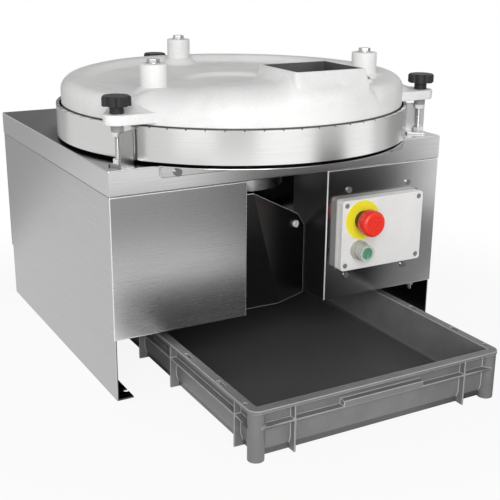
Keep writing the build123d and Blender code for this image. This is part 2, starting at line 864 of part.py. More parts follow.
inlet_back = inlet_y + inlet_depth / 2
inlet_front = inlet_y - inlet_depth / 2
inlet_upper = Pos(inlet_x, inlet_y, inlet_top) * Rectangle(inlet_width, inlet_depth)
inlet_lower_y = (inlet_front - inlet_flare + inlet_back) / 2
inlet_lower = Rectangle(inlet_width + inlet_lean, inlet_depth + inlet_flare)
inlet_lower = Pos(inlet_x - inlet_lean / 2, inlet_lower_y, lid_rim + lid_wall) * inlet_lower
lid += loft([inlet_lower, inlet_upper], ruled=True) & rod(lid_radius, lid_rim, inlet_top, 0, 0)

for name, angle in post_angles.items():
    boss_x, boss_y = polar(boss_circle, boss_angles[name])
    lid += rod(boss_radius, roof_z, boss_top, boss_x, boss_y)
    lid += rod(boss_radius + boss_pad, roof_z, ridge_z, boss_x, boss_y)
    x, y = post_points[name]
    lug = rod(lug_end_radius, lug_bottom, lug_top, post_circle, 0)
    root = lid_radius - lid_wall - lid_shoulder
    touch_x, touch_y = polar(lug_end_radius, 90 - lug_flare)
    root_half = touch_y + (post_circle + touch_x - root) * touch_x / touch_y
    taper = make_face(
        Polyline(
            (root, -root_half),
            (post_circle + touch_x, -touch_y),
            (post_circle + touch_x, touch_y),
            (root, root_half),
            close=True,
        )
    )
    lug += Pos(0, 0, lug_bottom) * extrude(taper, lug_thickness)
    lug += rod(lug_boss_radius, lug_boss_bottom, lug_bottom, post_circle, 0)
    lid += Rot(0, 0, angle) * lug
plug_x, plug_y = polar(plug_circle, plug_angle)
plug_top = ridge_z + plug_boss_height
lid += rod(plug_boss_radius, roof_z, plug_top, plug_x, plug_y)

slope_shift = lid_wall * ridge_rise / (ridge_slope + hypot(ridge_slope, ridge_rise))
cavity_points = [
    (0, lid_rim),
    (lid_radius - lid_wall, lid_rim),
    (lid_radius - lid_wall, ridge_z - lid_wall),
    (ridge_inner + slope_shift, ridge_z - lid_wall),
    (ridge_inner - ridge_slope + slope_shift, roof_z),
    (dish_radius + dish_slope + slope_shift, roof_z),
    (dish_radius + slope_shift, dish_z - lid_wall),
    (0, dish_z - lid_wall),
]
cavity_face = make_face(Polyline(*cavity_points, close=True))
cavity_shoulder = cavity_face.vertices().sort_by_distance((lid_radius - lid_wall, ridge_z - lid_wall, 0))[0]
cavity = revolve(Plane.XZ * fillet(cavity_shoulder, lid_shoulder - lid_wall), Axis.Z)
lid -= cavity - ridge_fall(lid_wall)
lid -= box(
    inlet_x - inlet_width / 2 + inlet_wall,
    inlet_x + inlet_width / 2 - inlet_wall,
    inlet_front + inlet_wall,
    inlet_back - inlet_wall,
    lid_rim,
    inlet_top,
)
for name in post_angles:
    lid -= rod(lug_hole_radius, lug_boss_bottom, lug_top, *post_points[name])
    lid -= rod(m10_radius + hole_clearance, lid_rim, boss_top, *polar(boss_circle, boss_angles[name]))
lid -= rod(plug_shank_radius, plug_top - plug_shank_length, plug_top, plug_x, plug_y)
save("lid", lid)

lid_plug = rod(plug_shank_radius, plug_top - plug_shank_length, plug_top, plug_x, plug_y)
lid_plug += rod(plug_head_radius, plug_top, plug_top + plug_head_height, plug_x, plug_y)
save("lid_plug", lid_plug)


# Spiral guide: one upright strip that closes the feed off, runs round the channel and lets the dough in
def guide_radius(angle):
    """Radius of the strip's middle line, going round against the angle."""
    if angle > guide_turn_in:
        share = (guide_start - angle) / (guide_start - guide_turn_in)
        return guide_outer + (guide_inner - guide_outer) * share
    if angle > guide_feed_end:
        return guide_inner
    if angle > boss_angles["left"]:
        share = (guide_feed_end - angle) / (guide_feed_end - boss_angles["left"])
        return guide_inner + (boss_circle - guide_inner) * (1 - cos(pi * share)) / 2
    return boss_circle


def guide_point(angle, side):
    """A point on the strip's edge, half its thickness off the middle line."""
    x, y = polar(guide_radius(angle), angle)
    x_next, y_next = polar(guide_radius(angle - guide_step / 4), angle - guide_step / 4)
    along = hypot(x_next - x, y_next - y)
    shift = side * guide_thickness / 2 / along
    return x - (y_next - y) * shift, y + (x_next - x) * shift


guide_steps = int((guide_start - guide_end) / guide_step)
guide_angles = [guide_start - guide_step * i for i in range(guide_steps + 1)]
guide_outline = [guide_point(angle, 1) for angle in guide_angles]
guide_outline += [guide_point(angle, -1) for angle in reversed(guide_angles)]
strip = extrude(make_face(Polyline(*guide_outline, close=True)), roof_z - guide_bottom)
spiral_guide = Pos(0, 0, guide_bottom) * strip
boss_bolts = []
for angle in boss_angles.values():
    x, y = polar(boss_circle, angle)
    spiral_guide += rod(guide_pad_radius, roof_z - guide_pad_height, roof_z, x, y)
    spiral_guide -= rod(m10_radius, roof_z - boss_bolt_grip, roof_z, x, y)
    bolt = rod(m10_radius, roof_z - boss_bolt_grip, boss_top + m10_head, x, y)
    boss_bolts.append(bolt + hexagon(m10_head_across, boss_top, boss_top + m10_head, x, y))
save("spiral_guide", spiral_guide)
save("boss_bolts", *boss_bolts)


# Star knobs on the posts
def star_knob(x, y):
    head = Pos(0, 0, knob_neck_top) * extrude(Circle(knob_radius), knob_head)
    head = chamfer(head.edges().group_by(Axis.Z)[-1], knob_chamfer)
    for i in range(knob_lobe_count):
        place = polar(knob_radius + knob_scallop_out, 360 / knob_lobe_count * i)
        head -= rod(knob_scallop, knob_neck_top, knob_top, *place)
    neck = rod(knob_neck_radius, lug_top, knob_neck_top)
    bore = rod(stud_radius + running_clearance, lug_top, knob_top - knob_cap)
    return Pos(x, y, 0) * (head + neck - bore)


for name, (x, y) in post_points.items():
    save(f"knob_{name}", star_knob(x, y))

# Posts: studs, lock nuts below, foot nuts and height nuts, and an upright plate beside each
studs = []
nuts = []
foot_top = table_height + bracket_sheet
for name, (x, y) in post_points.items():
    under = support_bottom if name == "rear" else support_bottom - frame_sheet
    studs.append(rod(stud_radius, under - nut_height - stud_tail, stud_top, x, y))
    bore = rod(stud_radius, 0, knob_top, x, y)
    for nut_bottom in (under - nut_height, foot_top, lug_boss_bottom - nut_height):
        nuts.append(hexagon(nut_across, nut_bottom, nut_bottom + nut_height, x, y) - bore)
    inner = ring_radius + bracket_inner_gap
    foot = box(
        inner,
        post_circle + bracket_foot_out,
        -bracket_foot_half,
        bracket_offset + bracket_sheet,
        table_height,
        foot_top,
    )
    web = box(
        inner,
        inner + bracket_length,
        bracket_offset,
        bracket_offset + bracket_sheet,
        table_height,
        table_height + bracket_height,
    )
    corner = web.edges().filter_by(Axis.Y).sort_by(lambda edge: edge.center().X + edge.center().Z)[-1]
    web = fillet(corner, bracket_corner)
    bracket = foot + web - rod(stud_hole, table_height, foot_top, post_circle, 0)
    save(f"post_bracket_{name}", Rot(0, 0, post_angles[name]) * bracket)
save("post_studs", *studs)
save("post_nuts", *nuts)

# Pan guard: plate under the pan's overhang with a flange bolted to the skirt
guard_top = table_height
pan_guard = rod(guard_edge, guard_top - guard_sheet, guard_top)
pan_guard &= box(-side_x, side_x, -ring_radius, front_y, 0, ring_top)
flange_face = Rectangle(2 * guard_half, pan_guard_flange)
flange_low = flange_face.vertices().group_by(Axis.Y)[0]
flange = extrude(fillet(flange_low, pan_guard_round), guard_sheet)
flange_z = guard_top - pan_guard_flange / 2
pan_guard += Pos(0, front_y, flange_z) * Rot(90, 0, 0) * flange
guard_bolts = []
for side in (-1, 1):
    x = side * pan_guard_bolt_x
    face = front_y - guard_sheet
    pan_guard -= rod_y(m6_radius + hole_clearance, face, front_y, x, guard_bolt_z)
    bolt = rod_y(m6_radius, face, front_y + top_sheet + m6_nut, x, guard_bolt_z)
    bolt += rod_y(m6_head_radius, face - m6_head, face, x, guard_bolt_z)
    nut = extrude(RegularPolygon(m6_nut_across / 2, 6, major_radius=False), m6_nut)
    bolt += Pos(x, front_y + top_sheet + m6_nut, guard_bolt_z) * Rot(90, 0, 0) * nut
    guard_bolts.append(bolt)
save("pan_guard", pan_guard)

# Drop guard: a sheet with one slanting fold, from the left bay wall to the right one
bay_half = bay_width / 2 - drop_guard_wall_gap
guard_left = -bay_half
guard_right = bay_half
fold_low = (drop_guard_fold_x, front_y + drop_guard_set_back, drop_guard_bottom)
right_low = (guard_right, front_y + drop_guard_right_back, drop_guard_bottom)


def on_right_leaf(x, z):
    """A point of the guard's right leaf, which stands upright."""
    share = (x - fold_low[0]) / (right_low[0] - fold_low[0])
    return x, fold_low[1] + (right_low[1] - fold_low[1]) * share, z


def sheet_along_y(points):
    """A flat leaf with its thickness towards the back."""
    face = make_face(Polyline(*points, close=True))
    return extrude(face, guard_sheet, dir=(0, 1, 0))


fold_high = on_right_leaf(drop_guard_fold_top_x, drop_guard_top)
left_leaf = sheet_along_y([
    (guard_left, fold_low[1], fold_low[2]),
    fold_low,
    fold_high,
    (guard_left, fold_high[1], fold_high[2]),
])
right_leaf = sheet_along_y([
    fold_low,
    right_low,
    on_right_leaf(guard_right, drop_guard_right_top),
    on_right_leaf(guard_right - drop_guard_cut, drop_guard_cut_top),
    fold_high,
])
right_flange = box(
    guard_right - guard_sheet,
    guard_right,
    right_low[1],
    right_low[1] + drop_guard_flange,
    drop_guard_bottom,
    drop_guard_right_top,
)
left_flange = box(
    guard_left,
    guard_left + guard_sheet,
    fold_low[1],
    fold_low[1] + drop_guard_flange,
    drop_guard_bottom,
    drop_guard_right_top,
)
drop_guard = left_leaf + right_leaf + right_flange + left_flange

# Bolts of the drop guard: one through each wall flange and one on the right leaf's upper corner
flange_bolt_z = (drop_guard_bottom + drop_guard_right_top) / 2
for side, wall_y in ((-1, fold_low[1]), (1, right_low[1])):
    y = wall_y + drop_guard_flange - drop_guard_bolt_inset
    start = bay_half - guard_sheet - m6_head
    end = bay_width / 2 + cover_sheet + m6_nut
    bolt = Pos((start + end) / 2, y, flange_bolt_z) * Rot(0, 90, 0) * Cylinder(m6_radius, end - start)
    head = Cylinder(m6_head_radius, m6_head)
    bolt += Pos(start + m6_head / 2, y, flange_bolt_z) * Rot(0, 90, 0) * head
    nut = extrude(RegularPolygon(m6_nut_across / 2, 6, major_radius=False), m6_nut)
    bolt += Pos(bay_width / 2 + cover_sheet, y, flange_bolt_z) * Rot(0, 90, 0) * nut
    hole = Pos(bay_width / 2, y, flange_bolt_z) * Rot(0, 90, 0)
    sheets = cover_sheet + guard_sheet + drop_guard_wall_gap
    hole = hole * Cylinder(m6_radius + hole_clearance, 2 * sheets)
    if side < 0:
        bolt = mirror(bolt, Plane.YZ)
        hole = mirror(hole, Plane.YZ)
        left_front_panel -= hole
    else:
        control_panel -= hole
    drop_guard -= hole
    guard_bolts.append(bolt)
save("left_front_panel", left_front_panel)
save("control_panel", control_panel)

leaf_run = (right_low[0] - fold_low[0], right_low[1] - fold_low[1])
leaf_length = hypot(*leaf_run)
leaf_normal = (leaf_run[1] / leaf_length, -leaf_run[0] / leaf_length, 0)
bolt_seat = on_right_leaf(drop_guard_bolt_x, drop_guard_bolt_z)
bolt_plane = Plane(origin=bolt_seat, z_dir=leaf_normal)
back_of_leaf = guard_sheet * -leaf_normal[1]
head_up = bolt_plane * Pos(0, 0, m6_head / 2) * Cylinder(m6_head_radius, m6_head)
shank_length = back_of_leaf + m6_nut
shank_down = bolt_plane * Pos(0, 0, -shank_length / 2) * Cylinder(m6_radius, shank_length)
nut = extrude(RegularPolygon(m6_nut_across / 2, 6, major_radius=False), m6_nut)
nut_behind = bolt_plane * Pos(0, 0, -shank_length) * nut
leaf_hole = Cylinder(m6_radius + hole_clearance, 3 * back_of_leaf)
drop_guard -= bolt_plane * Pos(0, 0, -back_of_leaf / 2) * leaf_hole
save("drop_guard", drop_guard)
save("guard_bolts", *guard_bolts, head_up + shank_down + nut_behind)

# Control box: base through the panel, cover with four screws, bracket behind the panel
cover_front = panel_front - enclosure_proud
cover_back = cover_front + enclosure_cover_depth
base_back = panel_front + enclosure_behind
enclosure_outline = RectangleRounded(enclosure_width, enclosure_height, enclosure_round)
inner_width = enclosure_width - 2 * enclosure_wall
inner_height = enclosure_height - 2 * enclosure_wall
enclosure_hollow = RectangleRounded(inner_width, inner_height, enclosure_round - enclosure_wall)


def from_front(outline, y0, y1):
    """An outline of the control box's face, run from y0 back to y1."""
    return Pos(enclosure_x, y1, enclosure_z) * Rot(90, 0, 0) * extrude(outline, y1 - y0)


enclosure_base = from_front(enclosure_outline, cover_back, base_back)
enclosure_base -= from_front(enclosure_hollow, cover_back, base_back - enclosure_wall)
enclosure_cover = from_front(enclosure_outline, cover_front, cover_back)
enclosure_cover -= from_front(enclosure_hollow, cover_front + enclosure_wall, cover_back)
cover_screws = []
for sx in (-1, 1):
    for sz in (-1, 1):
        x = enclosure_x + sx * (enclosure_width / 2 - cover_screw_inset)
        z = enclosure_z + sz * (enclosure_height / 2 - cover_screw_inset)
        half = cover_post_half
        solid_post = box(x - half, x + half, cover_front, cover_back, z - half, z + half)
        enclosure_cover += solid_post & from_front(enclosure_outline, cover_front, cover_back)
        base_post = box(x - half, x + half, cover_back, base_back, z - half, z + half)
        enclosure_base += base_post & from_front(enclosure_outline, cover_back, base_back)
        head_at = cover_front + cover_screw_sink
        enclosure_cover -= rod_y(cover_screw_head + hole_clearance, cover_front, head_at, x, z)
        enclosure_cover -= rod_y(cover_screw_radius + hole_clearance, cover_front, cover_back, x, z)
        screw = rod_y(cover_screw_radius, head_at, head_at + cover_screw_length, x, z)
        screw += rod_y(cover_screw_head, cover_front, head_at, x, z)
        slot_half = cover_screw_slot / 2
        slot_back = cover_front + cover_screw_slot
        reach = cover_screw_head
        slot = box(x - reach, x + reach, cover_front, slot_back, z - slot_half, z + slot_half)
        cover_screws.append(screw - slot)
        enclosure_base -= rod_y(cover_screw_radius, cover_back, head_at + cover_screw_length, x, z)

bracket_inner_x = enclosure_width / 2 + panel_cut_gap
bracket_inner_z = enclosure_height / 2 + panel_cut_gap
enclosure_bracket = box(
    enclosure_x - bracket_frame_width / 2,
    enclosure_x + bracket_frame_width / 2,
    frame_front,
    frame_front + frame_sheet,
    enclosure_z - bracket_frame_height / 2,
    enclosure_z + bracket_frame_height / 2,
)
enclosure_bracket -= box(
    enclosure_x - bracket_inner_x,
    enclosure_x + bracket_inner_x,
    frame_front,
    frame_front + frame_sheet,
    enclosure_z - bracket_inner_z,
    enclosure_z + bracket_inner_z,
)
ear = frame_front + frame_sheet
ear_back = ear + frame_sheet
for sz in (-1, 1):
    edge = enclosure_z + sz * enclosure_height / 2
    far = enclosure_z + sz * bracket_frame_height / 2
    low, high = min(edge, far), max(edge, far)
    enclosure_base += box(enclosure_left, enclosure_right, ear, ear_back, low, high)
panel_screws = []
for x, z in panel_screw_points:
    end = panel_front + panel_screw_length
    screw = rod_y(panel_screw_radius, panel_front, end, x, z)
    screw += rod_y(panel_screw_head_radius, panel_front - panel_screw_head, panel_front, x, z)
    panel_screws.append(screw)
    enclosure_bracket -= rod_y(panel_screw_radius, frame_front, ear, x, z)
    enclosure_base -= rod_y(panel_screw_radius, ear, ear_back, x, z)
save("enclosure_bracket", enclosure_bracket)
save("control_panel_screws", *panel_screws)
save("enclosure_screws", *cover_screws)

# Stop button: disc, collar with barrel, plunger, mushroom head and contact block
inner_face = cover_front + enclosure_wall
disc_front = cover_front - estop_disc_thickness
estop_disc = rod_y(estop_disc_radius, disc_front, cover_front, estop_x, estop_z)
estop_disc -= rod_y(estop_barrel_radius + seat_clearance, disc_front, cover_front, estop_x, estop_z)
save("estop_disc", estop_disc)
collar_front = disc_front - estop_collar_proud
barrel_back = cover_front + estop_barrel_length
estop_collar = rod_y(estop_collar_radius, collar_front, disc_front, estop_x, estop_z)
estop_collar += rod_y(estop_barrel_radius, disc_front, barrel_back, estop_x, estop_z)
estop_collar += rod_y(estop_collar_radius, inner_face, inner_face + barrel_nut, estop_x, estop_z)
estop_collar -= rod_y(estop_stem_radius + running_clearance, collar_front, barrel_back, estop_x, estop_z)
save("estop_collar", estop_collar)
enclosure_cover -= rod_y(estop_barrel_radius + seat_clearance, cover_front, inner_face, estop_x, estop_z)
head_back = collar_front - estop_travel - estop_head_gap
head_seat = head_back - estop_turn_seat
block_front = barrel_back
estop_stem = rod_y(estop_stem_radius, head_seat, block_front - plunger_gap, estop_x, estop_z)
save("estop_stem", estop_stem)
estop_head = extrude(Circle(estop_head_radius), estop_head_depth)
estop_head = fillet(estop_head.edges().group_by(Axis.Z)[-1], estop_head_round)
estop_head = Pos(estop_x, head_back, estop_z) * Rot(90, 0, 0) * estop_head
estop_head -= rod_y(estop_stem_radius + running_clearance, head_seat, head_back, estop_x, estop_z)
save("estop_head", estop_head)
half = estop_block_side / 2
estop_block = box(
    estop_x - half,
    estop_x + half,
    block_front,
    block_front + estop_block_depth,
    estop_z - half,
    estop_z + half,
)
estop_room = block_front + estop_travel + bore_clearance
estop_block -= rod_y(estop_stem_radius + bore_clearance, block_front, estop_room, estop_x, estop_z)
save("estop_block", estop_block)

# Start button: bezel with barrel, green cap on a plunger, soft boot and contact block
bezel_front = cover_front - start_bezel_proud
start_barrel = estop_barrel_radius
bezel_bore = start_bezel_radius - start_bezel_wall
start_bezel = rod_y(start_bezel_radius, bezel_front, cover_front, start_x, start_z)
start_bezel += rod_y(start_barrel, cover_front, barrel_back, start_x, start_z)
start_bezel += rod_y(estop_collar_radius, inner_face, inner_face + barrel_nut, start_x, start_z)
start_bezel -= rod_y(bezel_bore, bezel_front, cover_front - start_bezel_wall / 2, start_x, start_z)
start_bezel -= rod_y(start_stem_radius + running_clearance, bezel_front, barrel_back, start_x, start_z)
save("start_bezel", start_bezel)
enclosure_cover -= rod_y(start_barrel + seat_clearance, cover_front, inner_face, start_x, start_z)
save("enclosure_cover", enclosure_cover)
save("enclosure_base", enclosure_base)
boot_front = cover_front - start_boot_proud
boot_back = cover_front - start_bezel_wall / 2 - start_travel - bore_clearance
start_boot = rod_y(start_boot_radius, boot_front, boot_back, start_x, start_z)
rib_room = bezel_front - boot_front - start_travel
for i in range(start_boot_rib_count):
    y = boot_front + rib_room * (i + 1) / (start_boot_rib_count + 1)
    start_boot -= (
        rod_y(start_boot_radius + start_boot_rib, y, y + start_boot_rib, start_x, start_z)
        - rod_y(start_boot_radius - start_boot_rib, y, y + start_boot_rib, start_x, start_z)
    )
cap_front = boot_front + start_cap_top
start_boot -= rod_y(start_boot_radius - start_boot_wall, cap_front, boot_back, start_x, start_z)
save("start_boot", start_boot)
boot_inner = start_boot_radius - start_boot_wall
start_cap = rod_y(start_cap_radius, cap_front, boot_back, start_x, start_z)
start_cap += rod_y(boot_inner, boot_back - start_boot_wall, boot_back, start_x, start_z)
start_cap += rod_y(start_stem_radius, boot_back, block_front - plunger_gap, start_x, start_z)
save("start_cap", start_cap)
half = start_block_side / 2
start_block = box(
    start_x - half,
    start_x + half,
    block_front,
    block_front + start_block_depth,
    start_z - half,
    start_z + half,
)
start_room = block_front + start_travel + bore_clearance
start_block -= rod_y(start_stem_radius + bore_clearance, block_front, start_room, start_x, start_z)
save("start_block", start_block)

# Crate: tapered tub with a slotted rim, a band with a grip at each end, corner posts and upright ribs
crate_middle = (crate_front + crate_back) / 2


def crate_outline(inset, z, corner):
    """The crate's outline at a height, drawn in from its rim by an inset."""
    width = crate_width - 2 * inset
    length = crate_length - 2 * inset
    outline = RectangleRounded(width, length, corner) if corner > 0 else Rectangle(width, length)
    return Pos(crate_x, crate_middle, z) * outline


def crate_block(inset, z0, z1, corner=0.0):
    """An upright block of the crate's outline."""
    return extrude(crate_outline(inset, z0, corner), z1 - z0)


def crate_tub(inset, z0, z1):
    """A tub that tapers below the taper's height."""
    foot_inset = inset + crate_taper * (crate_taper_height - z0) / crate_taper_height
    foot = loft([crate_outline(foot_inset, z0, 0), crate_outline(inset, crate_taper_height, 0)], ruled=True)
    return foot + crate_block(inset, crate_taper_height, z1)


crate = crate_tub(crate_rim, 0, crate_height)
rim_bottom = crate_height - crate_rim_thickness
crate += crate_block(0, rim_bottom, crate_height, crate_corner)
band_top = crate_band_height + crate_wall
crate += crate_block(crate_band_inset, crate_band_height, band_top, crate_corner - crate_band_inset)
half = crate_wall / 2
near = crate_front + crate_band_inset
far = crate_back - crate_band_inset
reach = crate_width / 2 - crate_band_inset
ribs = []
for offset in crate_front_ribs:
    x = crate_x + offset
    ribs.append(box(x - half, x + half, near, far, crate_rib_foot, rim_bottom))
for offset in crate_side_ribs:
    y = crate_middle + offset
    ribs.append(box(crate_x - reach, crate_x + reach, y - half, y + half, crate_rib_foot, rim_bottom))
grip_half = crate_grip_width / 2
grip_top = band_top + crate_grip_rise
ribs.append(box(crate_x - grip_half, crate_x + grip_half, near, far, crate_band_height, grip_top))
post_inset = crate_post_radius + crate_band_inset
for sx in (-1, 1):
    for sy in (-1, 1):
        x = crate_x + sx * (crate_width / 2 - post_inset)
        y = crate_middle + sy * (crate_length / 2 - post_inset)
        ribs.append(rod(crate_post_radius, 0, rim_bottom, x, y))
crate += ribs
hollow_inset = crate_rim + crate_wall
floor_top = crate_floor_up + crate_floor
crate -= crate_tub(hollow_inset, floor_top, crate_height)
crate -= crate_block(hollow_inset + crate_taper, 0, crate_floor_up)
slot_x = crate_width / 2 - crate_rim / 2
for side in (-1, 1):
    x = crate_x + side * slot_x
    for offset in crate_slots:
        y = crate_middle + offset
        crate -= box(
            x - crate_slot_width / 2,
            x + crate_slot_width / 2,
            y - crate_slot_length / 2,
            y + crate_slot_length / 2,
            rim_bottom,
            crate_height,
        )
    for offset in crate_holes:
        crate -= rod(crate_hole_radius, rim_bottom, crate_height, x, crate_middle + offset)
save("crate", crate)
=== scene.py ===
import bpy
import json
import math
from mathutils import Matrix, Vector


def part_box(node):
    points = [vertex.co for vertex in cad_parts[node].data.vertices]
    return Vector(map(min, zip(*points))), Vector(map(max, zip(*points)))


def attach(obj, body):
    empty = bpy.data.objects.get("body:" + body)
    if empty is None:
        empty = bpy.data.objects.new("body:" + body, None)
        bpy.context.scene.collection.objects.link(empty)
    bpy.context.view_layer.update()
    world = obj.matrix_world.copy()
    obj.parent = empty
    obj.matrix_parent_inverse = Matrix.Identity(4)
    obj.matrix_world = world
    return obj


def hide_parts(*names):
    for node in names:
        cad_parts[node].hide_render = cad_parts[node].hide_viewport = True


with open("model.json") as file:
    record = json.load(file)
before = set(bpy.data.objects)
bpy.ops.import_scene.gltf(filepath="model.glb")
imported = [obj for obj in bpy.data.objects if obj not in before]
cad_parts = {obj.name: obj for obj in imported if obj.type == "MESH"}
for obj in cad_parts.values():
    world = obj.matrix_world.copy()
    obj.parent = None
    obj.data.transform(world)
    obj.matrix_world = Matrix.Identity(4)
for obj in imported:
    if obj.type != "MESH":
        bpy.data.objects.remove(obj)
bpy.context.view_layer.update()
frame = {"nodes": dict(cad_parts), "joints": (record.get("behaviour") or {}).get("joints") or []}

# Side frames: two leg sheets that carry the machine and stand on the bench on inward foot flanges.
# Stainless sheet of 2.5 mm, brushed along its length and folded; the support plate is bolted on top.


def take_up(piece):
    """Makes one piece the only selected and active object, in object mode."""
    active = bpy.context.view_layer.objects.active
    if active and active.mode != "OBJECT":
        bpy.ops.object.mode_set(mode="OBJECT")
    bpy.ops.object.select_all(action="DESELECT")
    piece.select_set(True)
    bpy.context.view_layer.objects.active = piece


def pick_all(piece, action="SELECT"):
    """Opens a piece's mesh for editing with all of it selected, or nothing."""
    take_up(piece)
    bpy.ops.object.mode_set(mode="EDIT")
    bpy.ops.mesh.select_all(action=action)


def work(piece, kind, **settings):
    """Adds a modifier with its settings and applies it."""
    take_up(piece)
    modifier = piece.modifiers.new(kind.lower(), kind)
    for key, value in settings.items():
        setattr(modifier, key, value)
    bpy.ops.object.modifier_apply(modifier=modifier.name)


def copy_of(node, name, whole=True):
    """A piece with its own copy of a node's mesh, triangles joined and flat faces made whole."""
    piece = bpy.data.objects.new(name, frame["nodes"][node].data.copy())
    bpy.context.scene.collection.objects.link(piece)
    take_up(piece)
    bpy.ops.mesh.customdata_custom_splitnormals_clear()
    work(piece, "WELD", merge_threshold=WELD_GAP)
    if whole:
        work(piece, "DECIMATE", decimate_type="DISSOLVE", angle_limit=FLAT_ANGLE)
    return piece


def bend(piece, radius, chosen, steps=4):
    """Rounds the edges whose two ends pass a test, as a fold or a moulded edge is rounded."""
    bpy.context.tool_settings.mesh_select_mode = (False, True, False)
    pick_all(piece, "DESELECT")
    bpy.ops.object.mode_set(mode="OBJECT")
    for edge in piece.data.edges:
        one, two = (piece.data.vertices[i].co for i in edge.vertices)
        edge.select = chosen(one, two)
    bpy.ops.object.mode_set(mode="EDIT")
    bpy.ops.mesh.bevel(offset=radius, segments=steps, profile=0.5, affect="EDGES", clamp_overlap=False)
    bpy.ops.object.mode_set(mode="OBJECT")


def even_light(piece, smooth):
    """Smooths a piece up to an angle in degrees and keeps its flat faces flat in the light."""
    take_up(piece)
    bpy.ops.object.shade_smooth_by_angle(angle=math.radians(smooth))
    work(piece, "WEIGHTED_NORMAL", weight=70, keep_sharp=True)


def soften(piece, width, steps=2, smooth=50, held_in=False):
    """Breaks every sharp edge by a small width."""
    work(piece, "BEVEL", width=width, segments=steps, limit_method="ANGLE", angle_limit=SHARP_ANGLE,
         use_clamp_overlap=held_in)
    even_light(piece, smooth)


def fit(piece, finish, body, node):
    """Gives a piece its finish and body, and hides the node that it stands for."""
    piece.data.materials.clear()
    piece.data.materials.append(finish)
    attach(piece, body)
    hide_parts(node)


def dress(node, name, finish, slot, body, width, *softening):
    """Puts a copy with softened edges and a finish in a node's place."""
    piece = copy_of(node, name)
    soften(piece, width, *softening)
    fit(piece, finish, body, node)


def paint(finish, *nodes):
    """Puts a finish on nodes that keep their own shape."""
    for name in nodes:
        for place in frame["nodes"][name].material_slots:
            place.material = finish


def feed(tree, value, place):
    """Feeds an input with a socket, a number or a colour."""
    if hasattr(value, "links"):
        tree.links.new(value, place)
    else:
        place.default_value = (*value, 1.0) if place.type == "RGBA" else value


def noise(tree, vector, scale, detail=3.0, rough=0.55):
    """A noise texture's value on a vector."""
    texture = tree.nodes.new("ShaderNodeTexNoise")
    texture.inputs["Scale"].default_value = scale
    texture.inputs["Detail"].default_value = detail
    texture.inputs["Roughness"].default_value = rough
    feed(tree, vector, texture.inputs["Vector"])
    return texture.outputs["Fac"]


def sums(tree, how, *values):
    """A math node on values that are sockets or numbers."""
    step = tree.nodes.new("ShaderNodeMath")
    step.operation = how
    for place, value in zip(step.inputs, values):
        feed(tree, value, place)
    return step.outputs[0]


def spread(tree, value, low, high, to_low=0.0, to_high=1.0):
    """A value's range stretched to another, held at its ends."""
    step = tree.nodes.new("ShaderNodeMapRange")
    step.interpolation_type = "SMOOTHSTEP"
    feed(tree, value, step.inputs["Value"])
    for label, number in (("From Min", low), ("From Max", high), ("To Min", to_low), ("To Max", to_high)):
        step.inputs[label].default_value = number
    return step.outputs[0]


def blend(tree, share, one, two):
    """One colour run into another by a share; either may be a socket."""
    step = tree.nodes.new("ShaderNodeMix")
    step.data_type = "RGBA"
    feed(tree, share, step.inputs["Factor"])
    feed(tree, one, step.inputs[6])
    feed(tree, two, step.inputs[7])
    return step.outputs[2]


def grey(tone):
    """A neutral colour of one tone."""
    return (tone, tone, tone)


def new_finish(name, rough, metal=0.0):
    """A material with its tree, its shader and the object's own coordinates."""
    finish = bpy.data.materials.new(name)
    finish.use_nodes = True
    tree = finish.node_tree
    shader = tree.nodes["Principled BSDF"]
    shader.inputs["Roughness"].default_value = rough
    shader.inputs["Metallic"].default_value = metal
    return finish, tree, shader, tree.nodes.new("ShaderNodeTexCoord").outputs["Object"]


def raise_grain(tree, shader, height, depth, strength=1.0):
    """Feeds a height into the shader's normal; the depth is in metres."""
    bump = tree.nodes.new("ShaderNodeBump")
    bump.inputs["Strength"].default_value = strength
    bump.inputs["Distance"].default_value = depth
    feed(tree, height, bump.inputs["Height"])
    feed(tree, bump.outputs["Normal"], shader.inputs["Normal"])


grain_group = bpy.data.node_groups.new("brushed_grain", "ShaderNodeTree")
for label in ("Along", "Place"):
    grain_group.interface.new_socket(label, in_out="INPUT", socket_type="NodeSocketVector")
for label in ("Tone", "Smudge", "Height"):
    grain_group.interface.new_socket(label, in_out="OUTPUT", socket_type="NodeSocketFloat")
given = grain_group.nodes.new("NodeGroupInput").outputs
made = grain_group.nodes.new("NodeGroupOutput").inputs
fine_lines = noise(grain_group, given["Along"], 1.0, 4.0, 0.7)
broad_lines = noise(grain_group, given["Along"], 0.5, 2.0)
half_broad = sums(grain_group, "MULTIPLY", broad_lines, 0.5)
feed(grain_group, sums(grain_group, "MULTIPLY_ADD", fine_lines, 0.5, half_broad), made["Tone"])
feed(grain_group, fine_lines, made["Height"])
wiped = noise(grain_group, given["Place"], 7.0, 4.0, 0.6)
feed(grain_group, spread(grain_group, wiped, 0.35, 0.75), made["Smudge"])


